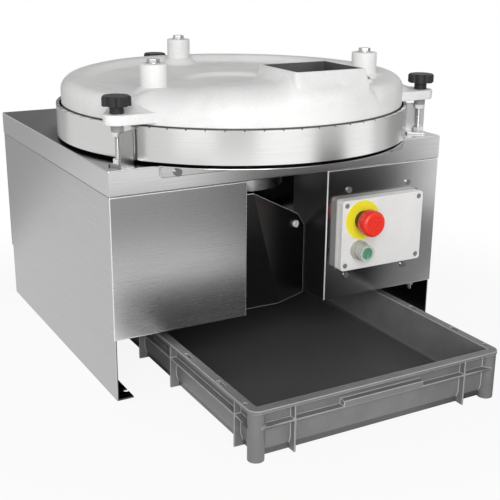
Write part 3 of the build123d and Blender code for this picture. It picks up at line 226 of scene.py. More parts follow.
def brushed_steel(name, colour, along, rough=(0.17, 0.22), depth=0.000004, streak=0.03):
    """Brushed metal: fine lines that run along the axis with the small scale, and faint wiping marks."""
    finish, tree, shader, place = new_finish(name, rough[0], 1.0)
    turn = tree.nodes.new("ShaderNodeMapping")
    turn.inputs["Scale"].default_value = along
    feed(tree, place, turn.inputs["Vector"])
    grain = tree.nodes.new("ShaderNodeGroup")
    grain.node_tree = grain_group
    feed(tree, turn.outputs["Vector"], grain.inputs["Along"])
    feed(tree, place, grain.inputs["Place"])
    dark = [c * (1 - streak) for c in colour]
    light = [min(1.0, c * (1 + streak)) for c in colour]
    tone = spread(tree, grain.outputs["Tone"], 0.3, 0.7)
    feed(tree, blend(tree, tone, dark, light), shader.inputs["Base Color"])
    worn = spread(tree, grain.outputs["Tone"], 0.25, 0.75, rough[1], rough[0])
    marks = sums(tree, "MULTIPLY_ADD", grain.outputs["Smudge"], 0.02, worn)
    feed(tree, marks, shader.inputs["Roughness"])
    raise_grain(tree, shader, grain.outputs["Height"], depth)
    return finish


def opened(finish):
    """A finish's tree and shader, and the object's own X, Y and Z as sockets."""
    tree = finish.node_tree
    split = tree.nodes.new("ShaderNodeSeparateXYZ")
    feed(tree, tree.nodes.new("ShaderNodeTexCoord").outputs["Object"], split.inputs[0])
    return tree, tree.nodes.get("Principled BSDF"), split.outputs


def recolour(finish, share, colour):
    """Runs a finish's colour into another by a share."""
    tree = finish.node_tree
    place = tree.nodes["Principled BSDF"].inputs["Base Color"]
    shown = place.links[0].from_socket
    feed(tree, blend(tree, share, shown, colour), place)


def shaded_inside(name, along, label, edge, outward):
    """Brushed sheet with painted shade on its inner side: all that lies behind the outer face is painted
    dark.
    """
    finish = brushed_steel(name, STAINLESS, along)
    tree, shader, place = opened(finish)
    inside = spread(tree, place[label], edge - outward * SKIN_BACK, edge - outward * SKIN_FRONT, 1.0, 0.0)
    recolour(finish, inside, INSIDE_SHADE)
    return finish


WELD_GAP, FLAT_ANGLE, SHARP_ANGLE = 2e-6, math.radians(0.3), math.radians(38)
STAINLESS, INSIDE_SHADE, SKIN_BACK, SKIN_FRONT = grey(0.68), grey(0.10), 0.0012, 0.0008
LINES, RUN = 1500.0, 22.0
BRUSHED_X, BRUSHED_Y, BRUSHED_ROUND = (RUN, LINES, LINES), (LINES, RUN, LINES), (RUN, RUN, LINES)
EDGE_BREAK = 0.0004
# painted shade: the legs' inner sides are painted near-black
for side in ("left", "right"):
    low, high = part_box(f"{side}_side_frame")
    edge, outward = (low.x, -1) if side == "left" else (high.x, 1)
    leg_steel = shaded_inside(f"stainless_{side}_leg", BRUSHED_Y, "X", edge, outward)
    dress(f"{side}_side_frame", f"{side}_leg_sheet", leg_steel, "stainless", "housing", EDGE_BREAK)

# Side covers and back panel: plain skins between the skirt and the legs' lower ends.
# Stainless sheet of 1.5 mm with broken edges, bonded to the side frames; the back panel closes the rear.
steel_sideways = brushed_steel("stainless_brushed_along_side", STAINLESS, BRUSHED_Y)
for side in ("left", "right"):
    dress(f"{side}_side_cover", f"{side}_side_skin", steel_sideways, "stainless", "housing", EDGE_BREAK)
# painted shade: the back panel's inner side is painted near-black
low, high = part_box("back_panel")
rear_steel = shaded_inside("stainless_shaded_inside", BRUSHED_X, "Y", high.y, 1)
dress("back_panel", "rear_skin", rear_steel, "stainless", "housing", EDGE_BREAK)

# Support plate with its bolts: the thick plate under the table that carries pan, posts and gearmotor.
# Hot-rolled steel with a dark mill skin, drilled and bolted to the side frames from below.


def milled_metal(name, colour, rough, fleck, depth=0.00002):
    """Bare worked metal: mottled tone with small flecks and a faint skin."""
    finish, tree, shader, place = new_finish(name, rough, 1.0)
    cloud = noise(tree, place, 22.0, 5.0, 0.6)
    specks = noise(tree, place, 900.0, 2.0)
    tone = sums(tree, "MULTIPLY_ADD", specks, 0.35, sums(tree, "MULTIPLY", cloud, 0.65))
    dark = [c * (1 - fleck) for c in colour]
    feed(tree, blend(tree, spread(tree, tone, 0.35, 0.65), dark, colour), shader.inputs["Base Color"])
    feed(tree, spread(tree, cloud, 0.3, 0.7, rough - 0.06, rough + 0.1), shader.inputs["Roughness"])
    raise_grain(tree, shader, specks, depth)
    return finish


mill_steel = milled_metal("mill_steel", (0.36, 0.36, 0.37), 0.42, 0.25)
zinc_plate = milled_metal("zinc_plate", (0.74, 0.74, 0.73), 0.24, 0.14)
paint(mill_steel, "support_plate", "motor_plate", "motor_pillars")
paint(zinc_plate, "frame_bolts", "gearbox_bolts", "motor_plate_bolts")

# Drop tube and its bearing: the pan's hub is an open tube that turns in a flanged plain bearing.
# Turned stainless tube with rings from the lathe; the bearing is a machined cream-white polymer.
paint(brushed_steel("turned_stainless", (0.88, 0.88, 0.87), BRUSHED_ROUND, (0.24, 0.32)), "drop_tube")


def smooth_plastic(name, colour, rough, mottle=0.06, pores=500.0, depth=0.00003, gloss=0.5):
    """Moulded plastic: a faint mottle in the colour and a fine skin from the mould."""
    finish, tree, shader, place = new_finish(name, rough)
    shader.inputs["Specular IOR Level"].default_value = gloss
    cloud = noise(tree, place, 30.0, 4.0)
    skin = noise(tree, place, pores, 2.0)
    shade = [c * (1 - mottle) for c in colour]
    feed(tree, blend(tree, spread(tree, cloud, 0.35, 0.65), shade, colour), shader.inputs["Base Color"])
    tone = sums(tree, "MULTIPLY_ADD", skin, 0.5, sums(tree, "MULTIPLY", cloud, 0.5))
    feed(tree, spread(tree, tone, 0.3, 0.7, rough - 0.05, rough + 0.07), shader.inputs["Roughness"])
    raise_grain(tree, shader, skin, depth)
    return finish


paint(smooth_plastic("bearing_polymer", (0.82, 0.81, 0.76), 0.45), "pan_bearing")

# Gear drive: the large spur gear clamped on the drop tube, its pinion, key and shaft.
# Machined steel, oiled, with a darker sheen than the stainless sheet; grub screws hold the collar.
paint(milled_metal("oiled_steel", (0.44, 0.44, 0.45), 0.30, 0.22),
      "drive_gear", "gear_grub_screws", "pinion", "pinion_key", "output_shaft")

# Gearmotor: gearbox, finned motor with fan cover and terminal box, hung from the support plate.
# Cast aluminium gearbox left as cast; the motor is painted in a semi-gloss grey.
paint(milled_metal("cast_aluminium", (0.60, 0.61, 0.62), 0.50, 0.18, 0.0001), "gearbox")
paint(smooth_plastic("motor_paint", (0.30, 0.32, 0.34), 0.38, 0.08, 300.0, 0.00005),
      "motor_body", "motor_fan_cover", "motor_terminal_box")

# Front panels: the two faces beside the middle bay, each with a bay wall and a lip along its lower edge.
# Stainless sheet of 1.5 mm, brushed from side to side, folded to a small radius at the bay and the lip.


def near(value, other, gap=0.0003):
    """Whether two lengths are the same but for a small gap."""
    return abs(value - other) < gap


def off_from(tree, value, middle):
    """How far a value lies from a middle, either way."""
    return sums(tree, "ABSOLUTE", sums(tree, "SUBTRACT", value, middle))


def painted_highlight(finish, share, colour, metal):
    """Paints a highlight: runs a metal's colour into a brighter one by a share, and its metal down to a
    lesser one there.
    """
    recolour(finish, share, colour)
    tree = finish.node_tree
    lesser = spread(tree, share, 0.0, 1.0, 1.0, metal)
    feed(tree, lesser, tree.nodes["Principled BSDF"].inputs["Metallic"])


def front_finish(name, low, high, uprights, rough, run):
    """The front sheets' steel: painted highlights along the folds at the top and the uprights, painted shade
    behind the face, and a painted shade gradient across the face.
    """
    finish = brushed_steel(name, FACE_STEEL, BRUSHED_X, rough)
    tree, shader, place = opened(finish)
    behind = sums(tree, "SUBTRACT", place["Y"], low.y)
    edge = spread(tree, off_from(tree, place["Z"], high.z), *FOLD_LINE)
    for upright in uprights:
        edge = sums(tree, "MAXIMUM", edge, spread(tree, off_from(tree, place["X"], upright), *FOLD_LINE))
    edge = sums(tree, "MULTIPLY", edge, spread(tree, behind, *FOLD_DEPTH, 1.0, 0.0))
    # painted shade: all that lies behind the face, the bay walls among it, is painted near-black
    back = spread(tree, behind, *BACK_DEPTH)
    label, start, end, tone_start, tone_end = run
    # painted shade: the face darkens along one axis, from the run's start to its end
    shade_gradient = spread(tree, place[label], start, end, 1 - tone_start, 1 - tone_end)
    recolour(finish, shade_gradient, grey(0.0))
    recolour(finish, back, BACK_SHADE)
    # painted highlight: the folds are painted bright and less metallic
    painted_highlight(finish, edge, HIGHLIGHT_TONE, 0.3)
    worn = shader.inputs["Roughness"].links[0].from_socket
    feed(tree, sums(tree, "MULTIPLY_ADD", back, 0.25, worn), shader.inputs["Roughness"])
    return finish


FACE_STEEL, BACK_SHADE, HIGHLIGHT_TONE = grey(0.80), grey(0.12), grey(0.92)
FOLD, FOLD_LINE, FOLD_DEPTH = 0.0018, (0.0008, 0.0015, 1.0, 0.0), (0.0016, 0.0024)
FACE_BREAK, BACK_DEPTH = 0.0003, (0.002, 0.003)
for node, name, side in (("left_front_panel", "left_front_sheet", 1), ("control_panel", "control_sheet", 0)):
    low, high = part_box(node)
    bay = (low, high)[side].x
    sheet = copy_of(node, name)
    bend(sheet, FOLD, lambda a, b: near(a.y, low.y) and near(b.y, low.y) and (
        (near(a.x, bay) and near(b.x, bay)) or (near(a.z, low.z) and near(b.z, low.z))))
    soften(sheet, FACE_BREAK)
    uprights, rough, run = (low.x,), (0.15, 0.19), ("X", low.x, high.x, 0.45, 1.0)
    if node == "left_front_panel":
        uprights, rough, run = (low.x, high.x), (0.24, 0.28), ("Z", low.z, high.z, 1.0, 0.52)
    finish = front_finish(f"{name}_steel", low, high, uprights, rough, run)
    fit(sheet, finish, "housing", node)

# Table top: the folded cover with a skirt all round that closes the housing from above.
# Stainless sheet of 2 mm, brushed from side to side, with folded edges and ground corner seams.
low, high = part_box("table_top")
cover = copy_of("table_top", "table_cover")


def outer_edge(a, b):
    """The folded edges round the top and the four upright corners."""
    on_side = [(near(v.x, low.x) or near(v.x, high.x), near(v.y, low.y) or near(v.y, high.y)) for v in (a, b)]
    if near(a.z, high.z) and near(b.z, high.z):
        return any(one and two for one, two in zip(*on_side))
    return all(all(place) for place in on_side)


def length_of(tree, one, two):
    """The length of two offsets at right angles."""
    return sums(tree, "SQRT", sums(tree, "MULTIPLY_ADD", one, one, sums(tree, "MULTIPLY", two, two)))


def off_axis(tree, place):
    """Where a point lies beside the pan's upright axis, in X and in Y."""
    return sums(tree, "SUBTRACT", place["X"], axis.x), sums(tree, "SUBTRACT", place["Y"], axis.y)


COVER_FOLD, SHADED_TOP_TONE, TOP_SHADE, SHADE_START, SHADE_END = 0.0022, grey(0.52), grey(0.12), 0.262, 0.298
bend(cover, COVER_FOLD, outer_edge)
soften(cover, FACE_BREAK)
joint_at = {joint["name"]: Vector(joint["pos_m"]) for joint in frame["joints"] if joint.get("pos_m")}
axis = joint_at["pan_spin"]
cover_steel = brushed_steel("stainless_cover", FACE_STEEL, BRUSHED_X)
tree, shader, place = opened(cover_steel)
# painted shade: the top face is painted darker than the skirt, and near-black under the pan ring and close
# round it
clear_of_ring = spread(tree, length_of(tree, *off_axis(tree, place)), SHADE_START, SHADE_END)
shaded_top = blend(tree, clear_of_ring, TOP_SHADE, SHADED_TOP_TONE)
recolour(cover_steel, spread(tree, place["Z"], high.z - 0.0006, high.z - 0.0002), shaded_top)
fit(cover, cover_steel, "housing", "table_top")

# Pan: a machined aluminium floor inside an upright ring with grooves on its inner wall.
# The ring is rolled stainless, brushed round its circumference; sunk screws hold ring, floor and hub.
RIM_BACK, RIM_FRONT, GROOVES, NICK_SHARE, NICK_DEPTH = 0.003, 0.0022, 66, 0.035, 0.0013
ring_brushed = brushed_steel("ring_brushed_round", (0.92, 0.92, 0.91), BRUSHED_ROUND,
                             depth=0.000003, streak=0.015)
tree, shader, place = opened(ring_brushed)
shader.inputs["Anisotropic"].default_value = 0.6
low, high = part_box("pan_ring")
ring_radius = high.x - axis.x
off_x, off_y = off_axis(tree, place)
radius = length_of(tree, off_x, off_y)
# painted shade: the top of the ring's inner wall is painted near-black for the gap round the lid
inward = spread(tree, radius, ring_radius - RIM_BACK, ring_radius - RIM_FRONT, 1.0, 0.0)
inner = sums(tree, "MULTIPLY", inward, spread(tree, place["Z"], high.z - 0.0004, high.z - 0.0002, 1.0, 0.0))
# painted shade: the grooves' mouths are painted as small dark nicks in the ring's upper edge
pitch = sums(tree, "MULTIPLY_ADD", sums(tree, "ARCTAN2", off_y, off_x), GROOVES / (2 * math.pi), 0.5)
aside = off_from(tree, sums(tree, "FRACT", pitch), 0.5)
groove_mouth_shade = sums(tree, "MULTIPLY", sums(tree, "LESS_THAN", aside, NICK_SHARE),
            sums(tree, "GREATER_THAN", place["Z"], high.z - NICK_DEPTH))
recolour(ring_brushed, sums(tree, "MAXIMUM", inner, groove_mouth_shade), grey(0.05))
paint(ring_brushed, "pan_ring")
paint(milled_metal("pan_aluminium", grey(0.74), 0.34, 0.10), "pan_plate")
paint(zinc_plate, "pan_ring_screws", "pan_hub_screws")

# Posts: three threaded studs through the table, with lock nuts, foot nuts and height nuts.
# Zinc-plated steel with an M8 coarse thread; the lid's lugs rest on the height nuts.
posts = {name: joint_at[f"knob_{name}_turn"] for name in ("left", "right", "rear")}
STUD_RADIUS, STUD_CORE, THREAD_PITCH, THREAD_SIDES, REAR_RISE = 0.004, 0.0034, 0.00125, 14, 0.0025


def face_out(piece, gap=0.0):
    """Merges points that lie within a gap, and turns every face outwards."""
    pick_all(piece)
    if gap:
        bpy.ops.mesh.remove_doubles(threshold=gap)
    bpy.ops.mesh.normals_make_consistent(inside=False)
    bpy.ops.object.mode_set(mode="OBJECT")


def threaded_rod(name, foot, bottom, top):
    """A rod with a real thread, cut off square at both ends."""
    mesh = bpy.data.meshes.new(name)
    crests = [(STUD_RADIUS, 0, 0), (STUD_CORE, 0, THREAD_PITCH / 2), (STUD_RADIUS, 0, THREAD_PITCH)]
    mesh.from_pydata(crests, [(0, 1), (1, 2)], [])
    rod = bpy.data.objects.new(name, mesh)
    bpy.context.scene.collection.objects.link(rod)
    turns = int((top - bottom) / THREAD_PITCH) + 3
    work(rod, "SCREW", axis="Z", screw_offset=THREAD_PITCH, iterations=turns, steps=THREAD_SIDES,
         render_steps=THREAD_SIDES, use_merge_vertices=True, merge_threshold=THREAD_GAP)
    rod.data.transform(Matrix.Translation((foot.x, foot.y, bottom - THREAD_PITCH)))
    pick_all(rod)
    for height, upwards in ((bottom, -1), (top, 1)):
        bpy.ops.mesh.select_all(action="SELECT")
        bpy.ops.mesh.bisect(plane_co=(foot.x, foot.y, height), plane_no=(0, 0, upwards), use_fill=True,
                            clear_outer=True)
    face_out(rod, THREAD_GAP)
    bpy.ops.object.shade_smooth_by_angle(angle=math.radians(30))
    return rod


def join(name, parts):
    """Joins several parts into one piece."""
    take_up(parts[0])
    for part in parts[1:]:
        part.select_set(True)
    bpy.ops.object.join()
    parts[0].name = parts[0].data.name = name
    return parts[0]


THREAD_GAP, NUT_BREAK = 1e-5, 0.0005
low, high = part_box("post_studs")
studs = []
for name, foot in posts.items():
    stud_low = low.z + (REAR_RISE if name == "rear" else 0.0)
    studs.append(threaded_rod(f"stud_{name}", foot, stud_low, high.z))
fit(join("threaded_posts", studs), zinc_plate, "housing", "post_studs")
bright_zinc = milled_metal("bright_zinc", (0.90, 0.90, 0.89), 0.25, 0.10)
bright_zinc.node_tree.nodes["Principled BSDF"].inputs["Metallic"].default_value = 0.45
dress("post_nuts", "hex_nuts", bright_zinc, "zinc", "housing", NUT_BREAK)

# Post brackets: an upright plate beside each post that stands on the table.
# Stainless sheet of 3 mm, sawn and folded, held down by the post's foot nut.
# painted shade: the plates' steel is painted darker than the other stainless, and near-black along their
# upright edges
SHADED_PLATE_STEEL, PLATE_ROUGH = grey(0.39), (0.28, 0.34)
EDGE_SHADOW_TONE, EDGE_SHADE_FROM, EDGE_SHADE_TO = grey(0.06), 0.0018, 0.001
for name in posts:
    finish = brushed_steel(f"post_plate_shaded_steel_{name}", SHADED_PLATE_STEEL, BRUSHED_X, PLATE_ROUGH)
    tree, shader, place = opened(finish)
    low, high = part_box(f"post_bracket_{name}")
    half = (high.x - low.x) / 2
    sawn = spread(tree, off_from(tree, place["X"], low.x + half), half - EDGE_SHADE_FROM, half - EDGE_SHADE_TO)
    recolour(finish, sawn, EDGE_SHADOW_TONE)
    dress(f"post_bracket_{name}", f"post_plate_{name}", finish, "stainless", "housing", EDGE_BREAK)

# Lid: the fixed cover over the pan, with a feed inlet, a hump that leads up to it, bosses and lugs.
# Cast aluminium with soft fillets and a white textured coating; the lugs sit on the posts under the knobs.
MM = 0.001
RIM_Z, RIDGE_Z, TROUGH_Z, DISH_Z = 377.0, 424.0, 413.0, 407.0
LID_RADIUS, SHOULDER, LID_WALL, CAST_GAP = 262.0, 18.0, 7.0, 2e-5
HUMP_SHOULDER, HUMP_DROP = 58.0, 36.0
DISH_RADIUS, DISH_SLOPE, RIDGE_FOOT, RIDGE_SLOPE = 66.0, 12.0, 210.0, 20.0
FALL, FALL_START, FALL_END, FALL_BACK = 10.0, 110.0, 207.0, 215.0
HUMP_RISE, HUMP_START, HUMP_END, HUMP_SLOPE = 14.0, -152.0, -84.0, 80.0
HUMP_CREST, HUMP_EDGE, HUMP_SAG = 215.0, 244.0, 0.45
HUMP_STOP, HUMP_FADE, HUMP_FULL, HUMP_TURN = 55.0, 45.0, -156.0, 22.0
# where the hump's inner foot runs: the angle about the pan's axis and the radius there
HUMP_FOOT = ((-180, 222), (-162, 200), (-156, 185), (-151, 166), (-141, 148), (-131, 127), (-120, 104),
             (-105, 92), (-87, 84), (-70, 100), (-60, 160))
INLET_LEFT, INLET_RIGHT, INLET_FRONT, INLET_BACK, INLET_TOP = -30.0, 82.0, -237.0, -135.0, 450.0
INLET_LOW, INLET_WALL, INLET_LEAN, INLET_FLARE, INLET_FILLET = 398.0, 3.0, 12.6, 26.8, 7.0
BOSS_CIRCLE, BOSS_RADIUS, BOSS_TOP, BOSS_FOOT = 203.0, 19.2, 455.0, 14.0
boss_places = {}
for name, turn in (("left", -150.0), ("right", -30.0), ("rear", 89.0)):
    turn = math.radians(turn)
    boss_places[name] = Vector((BOSS_CIRCLE * math.cos(turn), BOSS_CIRCLE * math.sin(turn)))


def ease(share):
    """A smooth step from 0 to 1."""
    share = min(max(share, 0.0), 1.0)
    return share * share * (3 - 2 * share)


def held(share):
    """A share held between 0 and 1."""
    return min(max(share, 0.0), 1.0)


def along_path(path, at):
    """The value of a path of (place, value) points at a place."""
    for (one, first), (two, second) in zip(path, path[1:]):
        if at <= two:
            return first + (second - first) * max(0.0, (at - one) / (two - one))
    return path[-1][1]


def lid_height(radius, turn):
    """Height of the lid's upper face: dish, trough, ridge, the hump that climbs to the inlet, and fillets."""
    flat = Vector((radius * math.cos(math.radians(turn)), radius * math.sin(math.radians(turn))))
    after = turn % 360
    fall = FALL * held((after - FALL_START) / (FALL_END - FALL_START))
    ridge = RIDGE_Z - fall * (1 - ease((after - FALL_END) / (FALL_BACK - FALL_END)))
    height = DISH_Z + (TROUGH_Z - DISH_Z) * ease((radius - DISH_RADIUS) / DISH_SLOPE)
    height += (ridge - TROUGH_Z) * ease((radius - RIDGE_FOOT) / RIDGE_SLOPE)
    sag = 1 - HUMP_SAG * ease((radius - HUMP_CREST) / (HUMP_EDGE - HUMP_CREST))
    crest = ridge + HUMP_RISE * held((turn - HUMP_START) / (HUMP_END - HUMP_START)) * sag
    foot = along_path(HUMP_FOOT, turn)
    up = held((radius - foot) / min(HUMP_SLOPE, HUMP_EDGE - 2 - foot)) if turn < 0 else 0.0
    up *= (1.5 - 0.5 * up) * (1 - ease((flat.x - HUMP_STOP) / HUMP_FADE))
    height += max(0.0, crest - height) * up
    for place in boss_places.values():
        swell = 1 - ease(((flat - place).length - BOSS_RADIUS) / BOSS_FOOT)
        height += max(0.0, RIDGE_Z - height) * swell
    apart = max(INLET_LEFT - 5 - flat.x, flat.x - INLET_RIGHT, flat.y - INLET_BACK)
    if apart < INLET_FILLET and radius < HUMP_EDGE + 1:
        near_wall = 1 - held(apart / INLET_FILLET)
        height += INLET_FILLET * (1 - math.sqrt(1 - near_wall * near_wall))
    return height


INNER_RADIUS, INNER_ROWS, FLAT_ROWS, ROUND_ROWS, WALL_ROWS, LID_TURNS = 64.0, 8, 56, 14, 6, 432
LID_ROWS = INNER_ROWS + FLAT_ROWS + ROUND_ROWS + WALL_ROWS + 1


def lid_point(turn, row):
    """A point of the solid lid, by rows from its middle over the shoulder, down to the rim and in below."""
    out = row - INNER_ROWS - FLAT_ROWS
    aside = (LID_RADIUS - HUMP_SHOULDER) * math.cos(math.radians(turn))
    full = 0.0
    if turn < 0:
        full = ease((turn - HUMP_FULL) / HUMP_TURN) * (1 - ease((aside - HUMP_STOP) / HUMP_FADE))
    flat = LID_RADIUS - SHOULDER - (HUMP_SHOULDER - SHOULDER) * full
    if out <= 0:
        radius = INNER_RADIUS * row / INNER_ROWS
        if row > INNER_ROWS:
            radius = INNER_RADIUS + (flat - INNER_RADIUS) * (row - INNER_ROWS) / FLAT_ROWS
        height = lid_height(radius, turn)
    else:
        round_off = held(out / ROUND_ROWS) * math.pi / 2
        radius = flat + (LID_RADIUS - flat) * math.sin(round_off)
        drop = SHOULDER + (HUMP_DROP - SHOULDER) * full
        height = lid_height(flat, turn) - drop * (1 - math.cos(round_off))
        height += (RIM_Z - height) * held((out - ROUND_ROWS) / WALL_ROWS)
        if row == LID_ROWS:
            radius = 0.0
    at = math.radians(turn)
    return axis + Vector((radius * math.cos(at), radius * math.sin(at), height)) * MM


def basic_shape(name, add, **settings):
    """One of Blender's own shapes, with its name."""
    bpy.ops.object.select_all(action="DESELECT")
    add(**settings)
    piece = bpy.context.object
    piece.name = piece.data.name = name
    return piece


def block(name, low, high):
    """A closed block between two corners in millimetres about the pan's axis."""
    piece = basic_shape(name, bpy.ops.mesh.primitive_cube_add, size=1.0)
    low, high = Vector(low), Vector(high)
    middle, size = (low + high) / 2, high - low
    for vertex in piece.data.vertices:
        vertex.co = axis + (middle + Vector(a * b for a, b in zip(vertex.co, size))) * MM
    return piece


def drum(name, radius, low, high, at=(0, 0), sides=48):
    """A closed upright cylinder in millimetres about the pan's axis."""
    piece = basic_shape(name, bpy.ops.mesh.primitive_cylinder_add, vertices=sides, radius=radius * MM,
                        depth=(high - low) * MM)
    piece.data.transform(Matrix.Translation(axis + Vector((*at, (low + high) / 2)) * MM))
    return piece


def round_top(piece, radius, top, steps):
    """Rounds the edges round a shape's top, which is given in millimetres."""
    bend(piece, radius, lambda a, b: min(a.z, b.z) > (top - 0.1) * MM, steps)


def shape_by(piece, how, *tools):
    """Adds, cuts or meets a piece with tools, and takes the tools away."""
    for tool in tools:
        work(piece, "BOOLEAN", operation=how, object=tool, solver="EXACT")
        bpy.data.objects.remove(tool)


casting = basic_shape("cast_lid", bpy.ops.mesh.primitive_grid_add, x_subdivisions=LID_TURNS,
                      y_subdivisions=LID_ROWS, size=1.0)
for vertex in casting.data.vertices:
    vertex.co = lid_point(-180 + 360 * (vertex.co.x + 0.5), round((vertex.co.y + 0.5) * LID_ROWS))
face_out(casting, CAST_GAP)
upper = casting.vertex_groups.new(name="upper")
for vertex in casting.data.vertices:
    if (vertex.co.xy - axis.xy).length < (LID_RADIUS - 1.5) * MM and vertex.co.z > (RIM_Z + 1) * MM:
        upper.add([vertex.index], 1.0, "REPLACE")
work(casting, "SMOOTH", factor=0.5, iterations=3, vertex_group="upper")

hopper = block("hopper", (INLET_LEFT, INLET_FRONT, INLET_LOW), (INLET_RIGHT, INLET_BACK, INLET_TOP))
left_of, front_of = axis.x, axis.y + (INLET_FRONT + INLET_BACK) / 2 * MM
for vertex in hopper.data.vertices:
    if vertex.co.z < (INLET_LOW + 1) * MM:
        if vertex.co.x < left_of:
            vertex.co.x -= INLET_LEAN * MM
        if vertex.co.y < front_of:
            vertex.co.y -= INLET_FLARE * MM
FRONT_CORNER, OTHER_CORNERS, INLET_LIP, OVERLAP = 0.007, 0.003, 0.0009, 5.0
bend(hopper, FRONT_CORNER, lambda a, b: max(a.x, b.x) < left_of and max(a.y, b.y) < front_of, 6)
bend(hopper, OTHER_CORNERS, lambda a, b: abs(a.z - b.z) > 0.04 and (
    min(a.x, b.x) > left_of or min(a.y, b.y) > front_of), 3)
round_top(hopper, INLET_LIP, INLET_TOP, 2)
lid_reach = drum("lid_reach", LID_RADIUS - 0.4, INLET_LOW - OVERLAP, INLET_TOP + OVERLAP, sides=240)
shape_by(hopper, "INTERSECT", lid_reach)

LUG_LOW, LUG_HIGH, LUG_END, LUG_ROOT, LUG_FLARE, LUG_ARC = 385.5, 399.5, 18.5, 237.0, 30.0, 16
WEB_START, WEB_TOP, WEB_HALF_START, WEB_HALF_ROOT = 280.0, 415.0, 26.0, 51.0
SEAT_RADIUS, SEAT_DEPTH, CAST_EDGE = 8.5, 9.5, 0.0014
features, seats = [hopper], []
for name, place in boss_places.items():
    boss = drum("boss", BOSS_RADIUS, TROUGH_Z - OVERLAP, BOSS_TOP, place, 64)
    round_top(boss, CAST_EDGE, BOSS_TOP, 3)
    features.append(boss)
    post = (posts[name] - axis) / MM
    post.z = 0
    outward = post.normalized()
    across = Vector((-outward.y, outward.x, 0))
    lug = basic_shape("lug", bpy.ops.mesh.primitive_circle_add, vertices=LUG_ARC + 3, fill_type="NGON")
    for step, vertex in enumerate(lug.data.vertices):
        turn = math.radians((90 - LUG_FLARE) * (2 * step / LUG_ARC - 1))
        along, aside = post.length + LUG_END * math.cos(turn), LUG_END * math.sin(turn)
        if step > LUG_ARC:
            half = LUG_END / math.cos(math.radians(LUG_FLARE))
            half += (post.length - LUG_ROOT) * math.tan(math.radians(LUG_FLARE))
            along, aside = LUG_ROOT, half if step == LUG_ARC + 1 else -half
        vertex.co = axis + (outward * along + across * aside + Vector((0, 0, LUG_LOW))) * MM
    pick_all(lug)
    bpy.ops.mesh.extrude_region_move(TRANSFORM_OT_translate={"value": (0, 0, (LUG_HIGH - LUG_LOW) * MM)})
    face_out(lug)
    bend(lug, CAST_EDGE, lambda a, b: near(a.z, b.z), 3)
    features.append(lug)
    seats.append(drum("lug_seat", SEAT_RADIUS, LUG_LOW - SEAT_DEPTH, LUG_LOW + 2, post.xy, 32))
    web = basic_shape("web", bpy.ops.mesh.primitive_cone_add, vertices=4, radius1=1.0, radius2=0.0, depth=1.0)
    corners = [(WEB_START, -WEB_HALF_START), (WEB_START, WEB_HALF_START), (LUG_ROOT, WEB_HALF_ROOT),
               (LUG_ROOT, -WEB_HALF_ROOT)]
    base = sorted(list(web.data.vertices)[:4], key=lambda vertex: math.atan2(vertex.co.y, vertex.co.x))
    for (along, aside), vertex in zip(corners, base):
        vertex.co = axis + (outward * along + across * aside + Vector((0, 0, LUG_HIGH - 1))) * MM
    web.data.vertices[4].co = axis + (outward * (LUG_ROOT + 4) + Vector((0, 0, WEB_TOP))) * MM
    face_out(web)
    seats.append(web)
PLUG_TURN, PLUG_CIRCLE, PLUG_RADIUS, PLUG_RISE, PLUG_EDGE = math.radians(-60.0), 226.0, 9.0, 5.0, 0.0012
plug_place = (PLUG_CIRCLE * math.cos(PLUG_TURN), PLUG_CIRCLE * math.sin(PLUG_TURN))
plug_boss = drum("plug_boss", PLUG_RADIUS, TROUGH_Z - OVERLAP, RIDGE_Z + PLUG_RISE, plug_place, 32)
round_top(plug_boss, PLUG_EDGE, RIDGE_Z + PLUG_RISE, 3)
features.append(plug_boss)
shape_by(casting, "UNION", join("cast_features", features), join("lug_seats", seats))

HOLLOW_EDGE, DISH_FLOOR, STUD_HOLE, SPECK = 0.008, 74.0, 4.5, 1e-5
hollow = drum("hollow", LID_RADIUS - LID_WALL, RIM_Z - 10, TROUGH_Z - LID_WALL, sides=160)
round_top(hollow, HOLLOW_EDGE, TROUGH_Z - LID_WALL, 4)
shape_by(hollow, "DIFFERENCE", drum("dish_floor", DISH_FLOOR, DISH_Z - LID_WALL, TROUGH_Z, sides=96))
bores = [block("inlet_bore", (INLET_LEFT + INLET_WALL, INLET_FRONT + INLET_WALL, RIM_Z - 30),
               (INLET_RIGHT - INLET_WALL, INLET_BACK - INLET_WALL, INLET_TOP + 30))]
for name in posts:
    post = (posts[name] - axis) / MM
    bores.append(drum("stud_hole", STUD_HOLE, LUG_LOW - 20, LUG_HIGH + 20, post.xy, 24))
shape_by(casting, "DIFFERENCE", hollow, join("bores", bores))
pick_all(casting)
bpy.ops.mesh.dissolve_degenerate(threshold=SPECK)
bpy.ops.mesh.delete_loose(use_verts=True, use_edges=True, use_faces=False)
bpy.ops.mesh.select_all(action="DESELECT")
bpy.ops.mesh.select_mode(type="EDGE")
bpy.ops.mesh.select_non_manifold(extend=False, use_wire=False, use_boundary=True, use_multi_face=False,
                                 use_non_contiguous=False, use_verts=False)
bpy.ops.mesh.fill_holes(sides=8)
bpy.ops.object.mode_set(mode="OBJECT")
bpy.ops.object.shade_smooth_by_angle(angle=math.radians(42))


def within(tree, place, low, high):
    """Whether a point lies between two corners, seen from above."""
    off_x = off_from(tree, place["X"], (low.x + high.x) / 2)
    off_y = off_from(tree, place["Y"], (low.y + high.y) / 2)
    return sums(tree, "MULTIPLY", sums(tree, "LESS_THAN", off_x, (high.x - low.x) / 2),
                sums(tree, "LESS_THAN", off_y, (high.y - low.y) / 2))


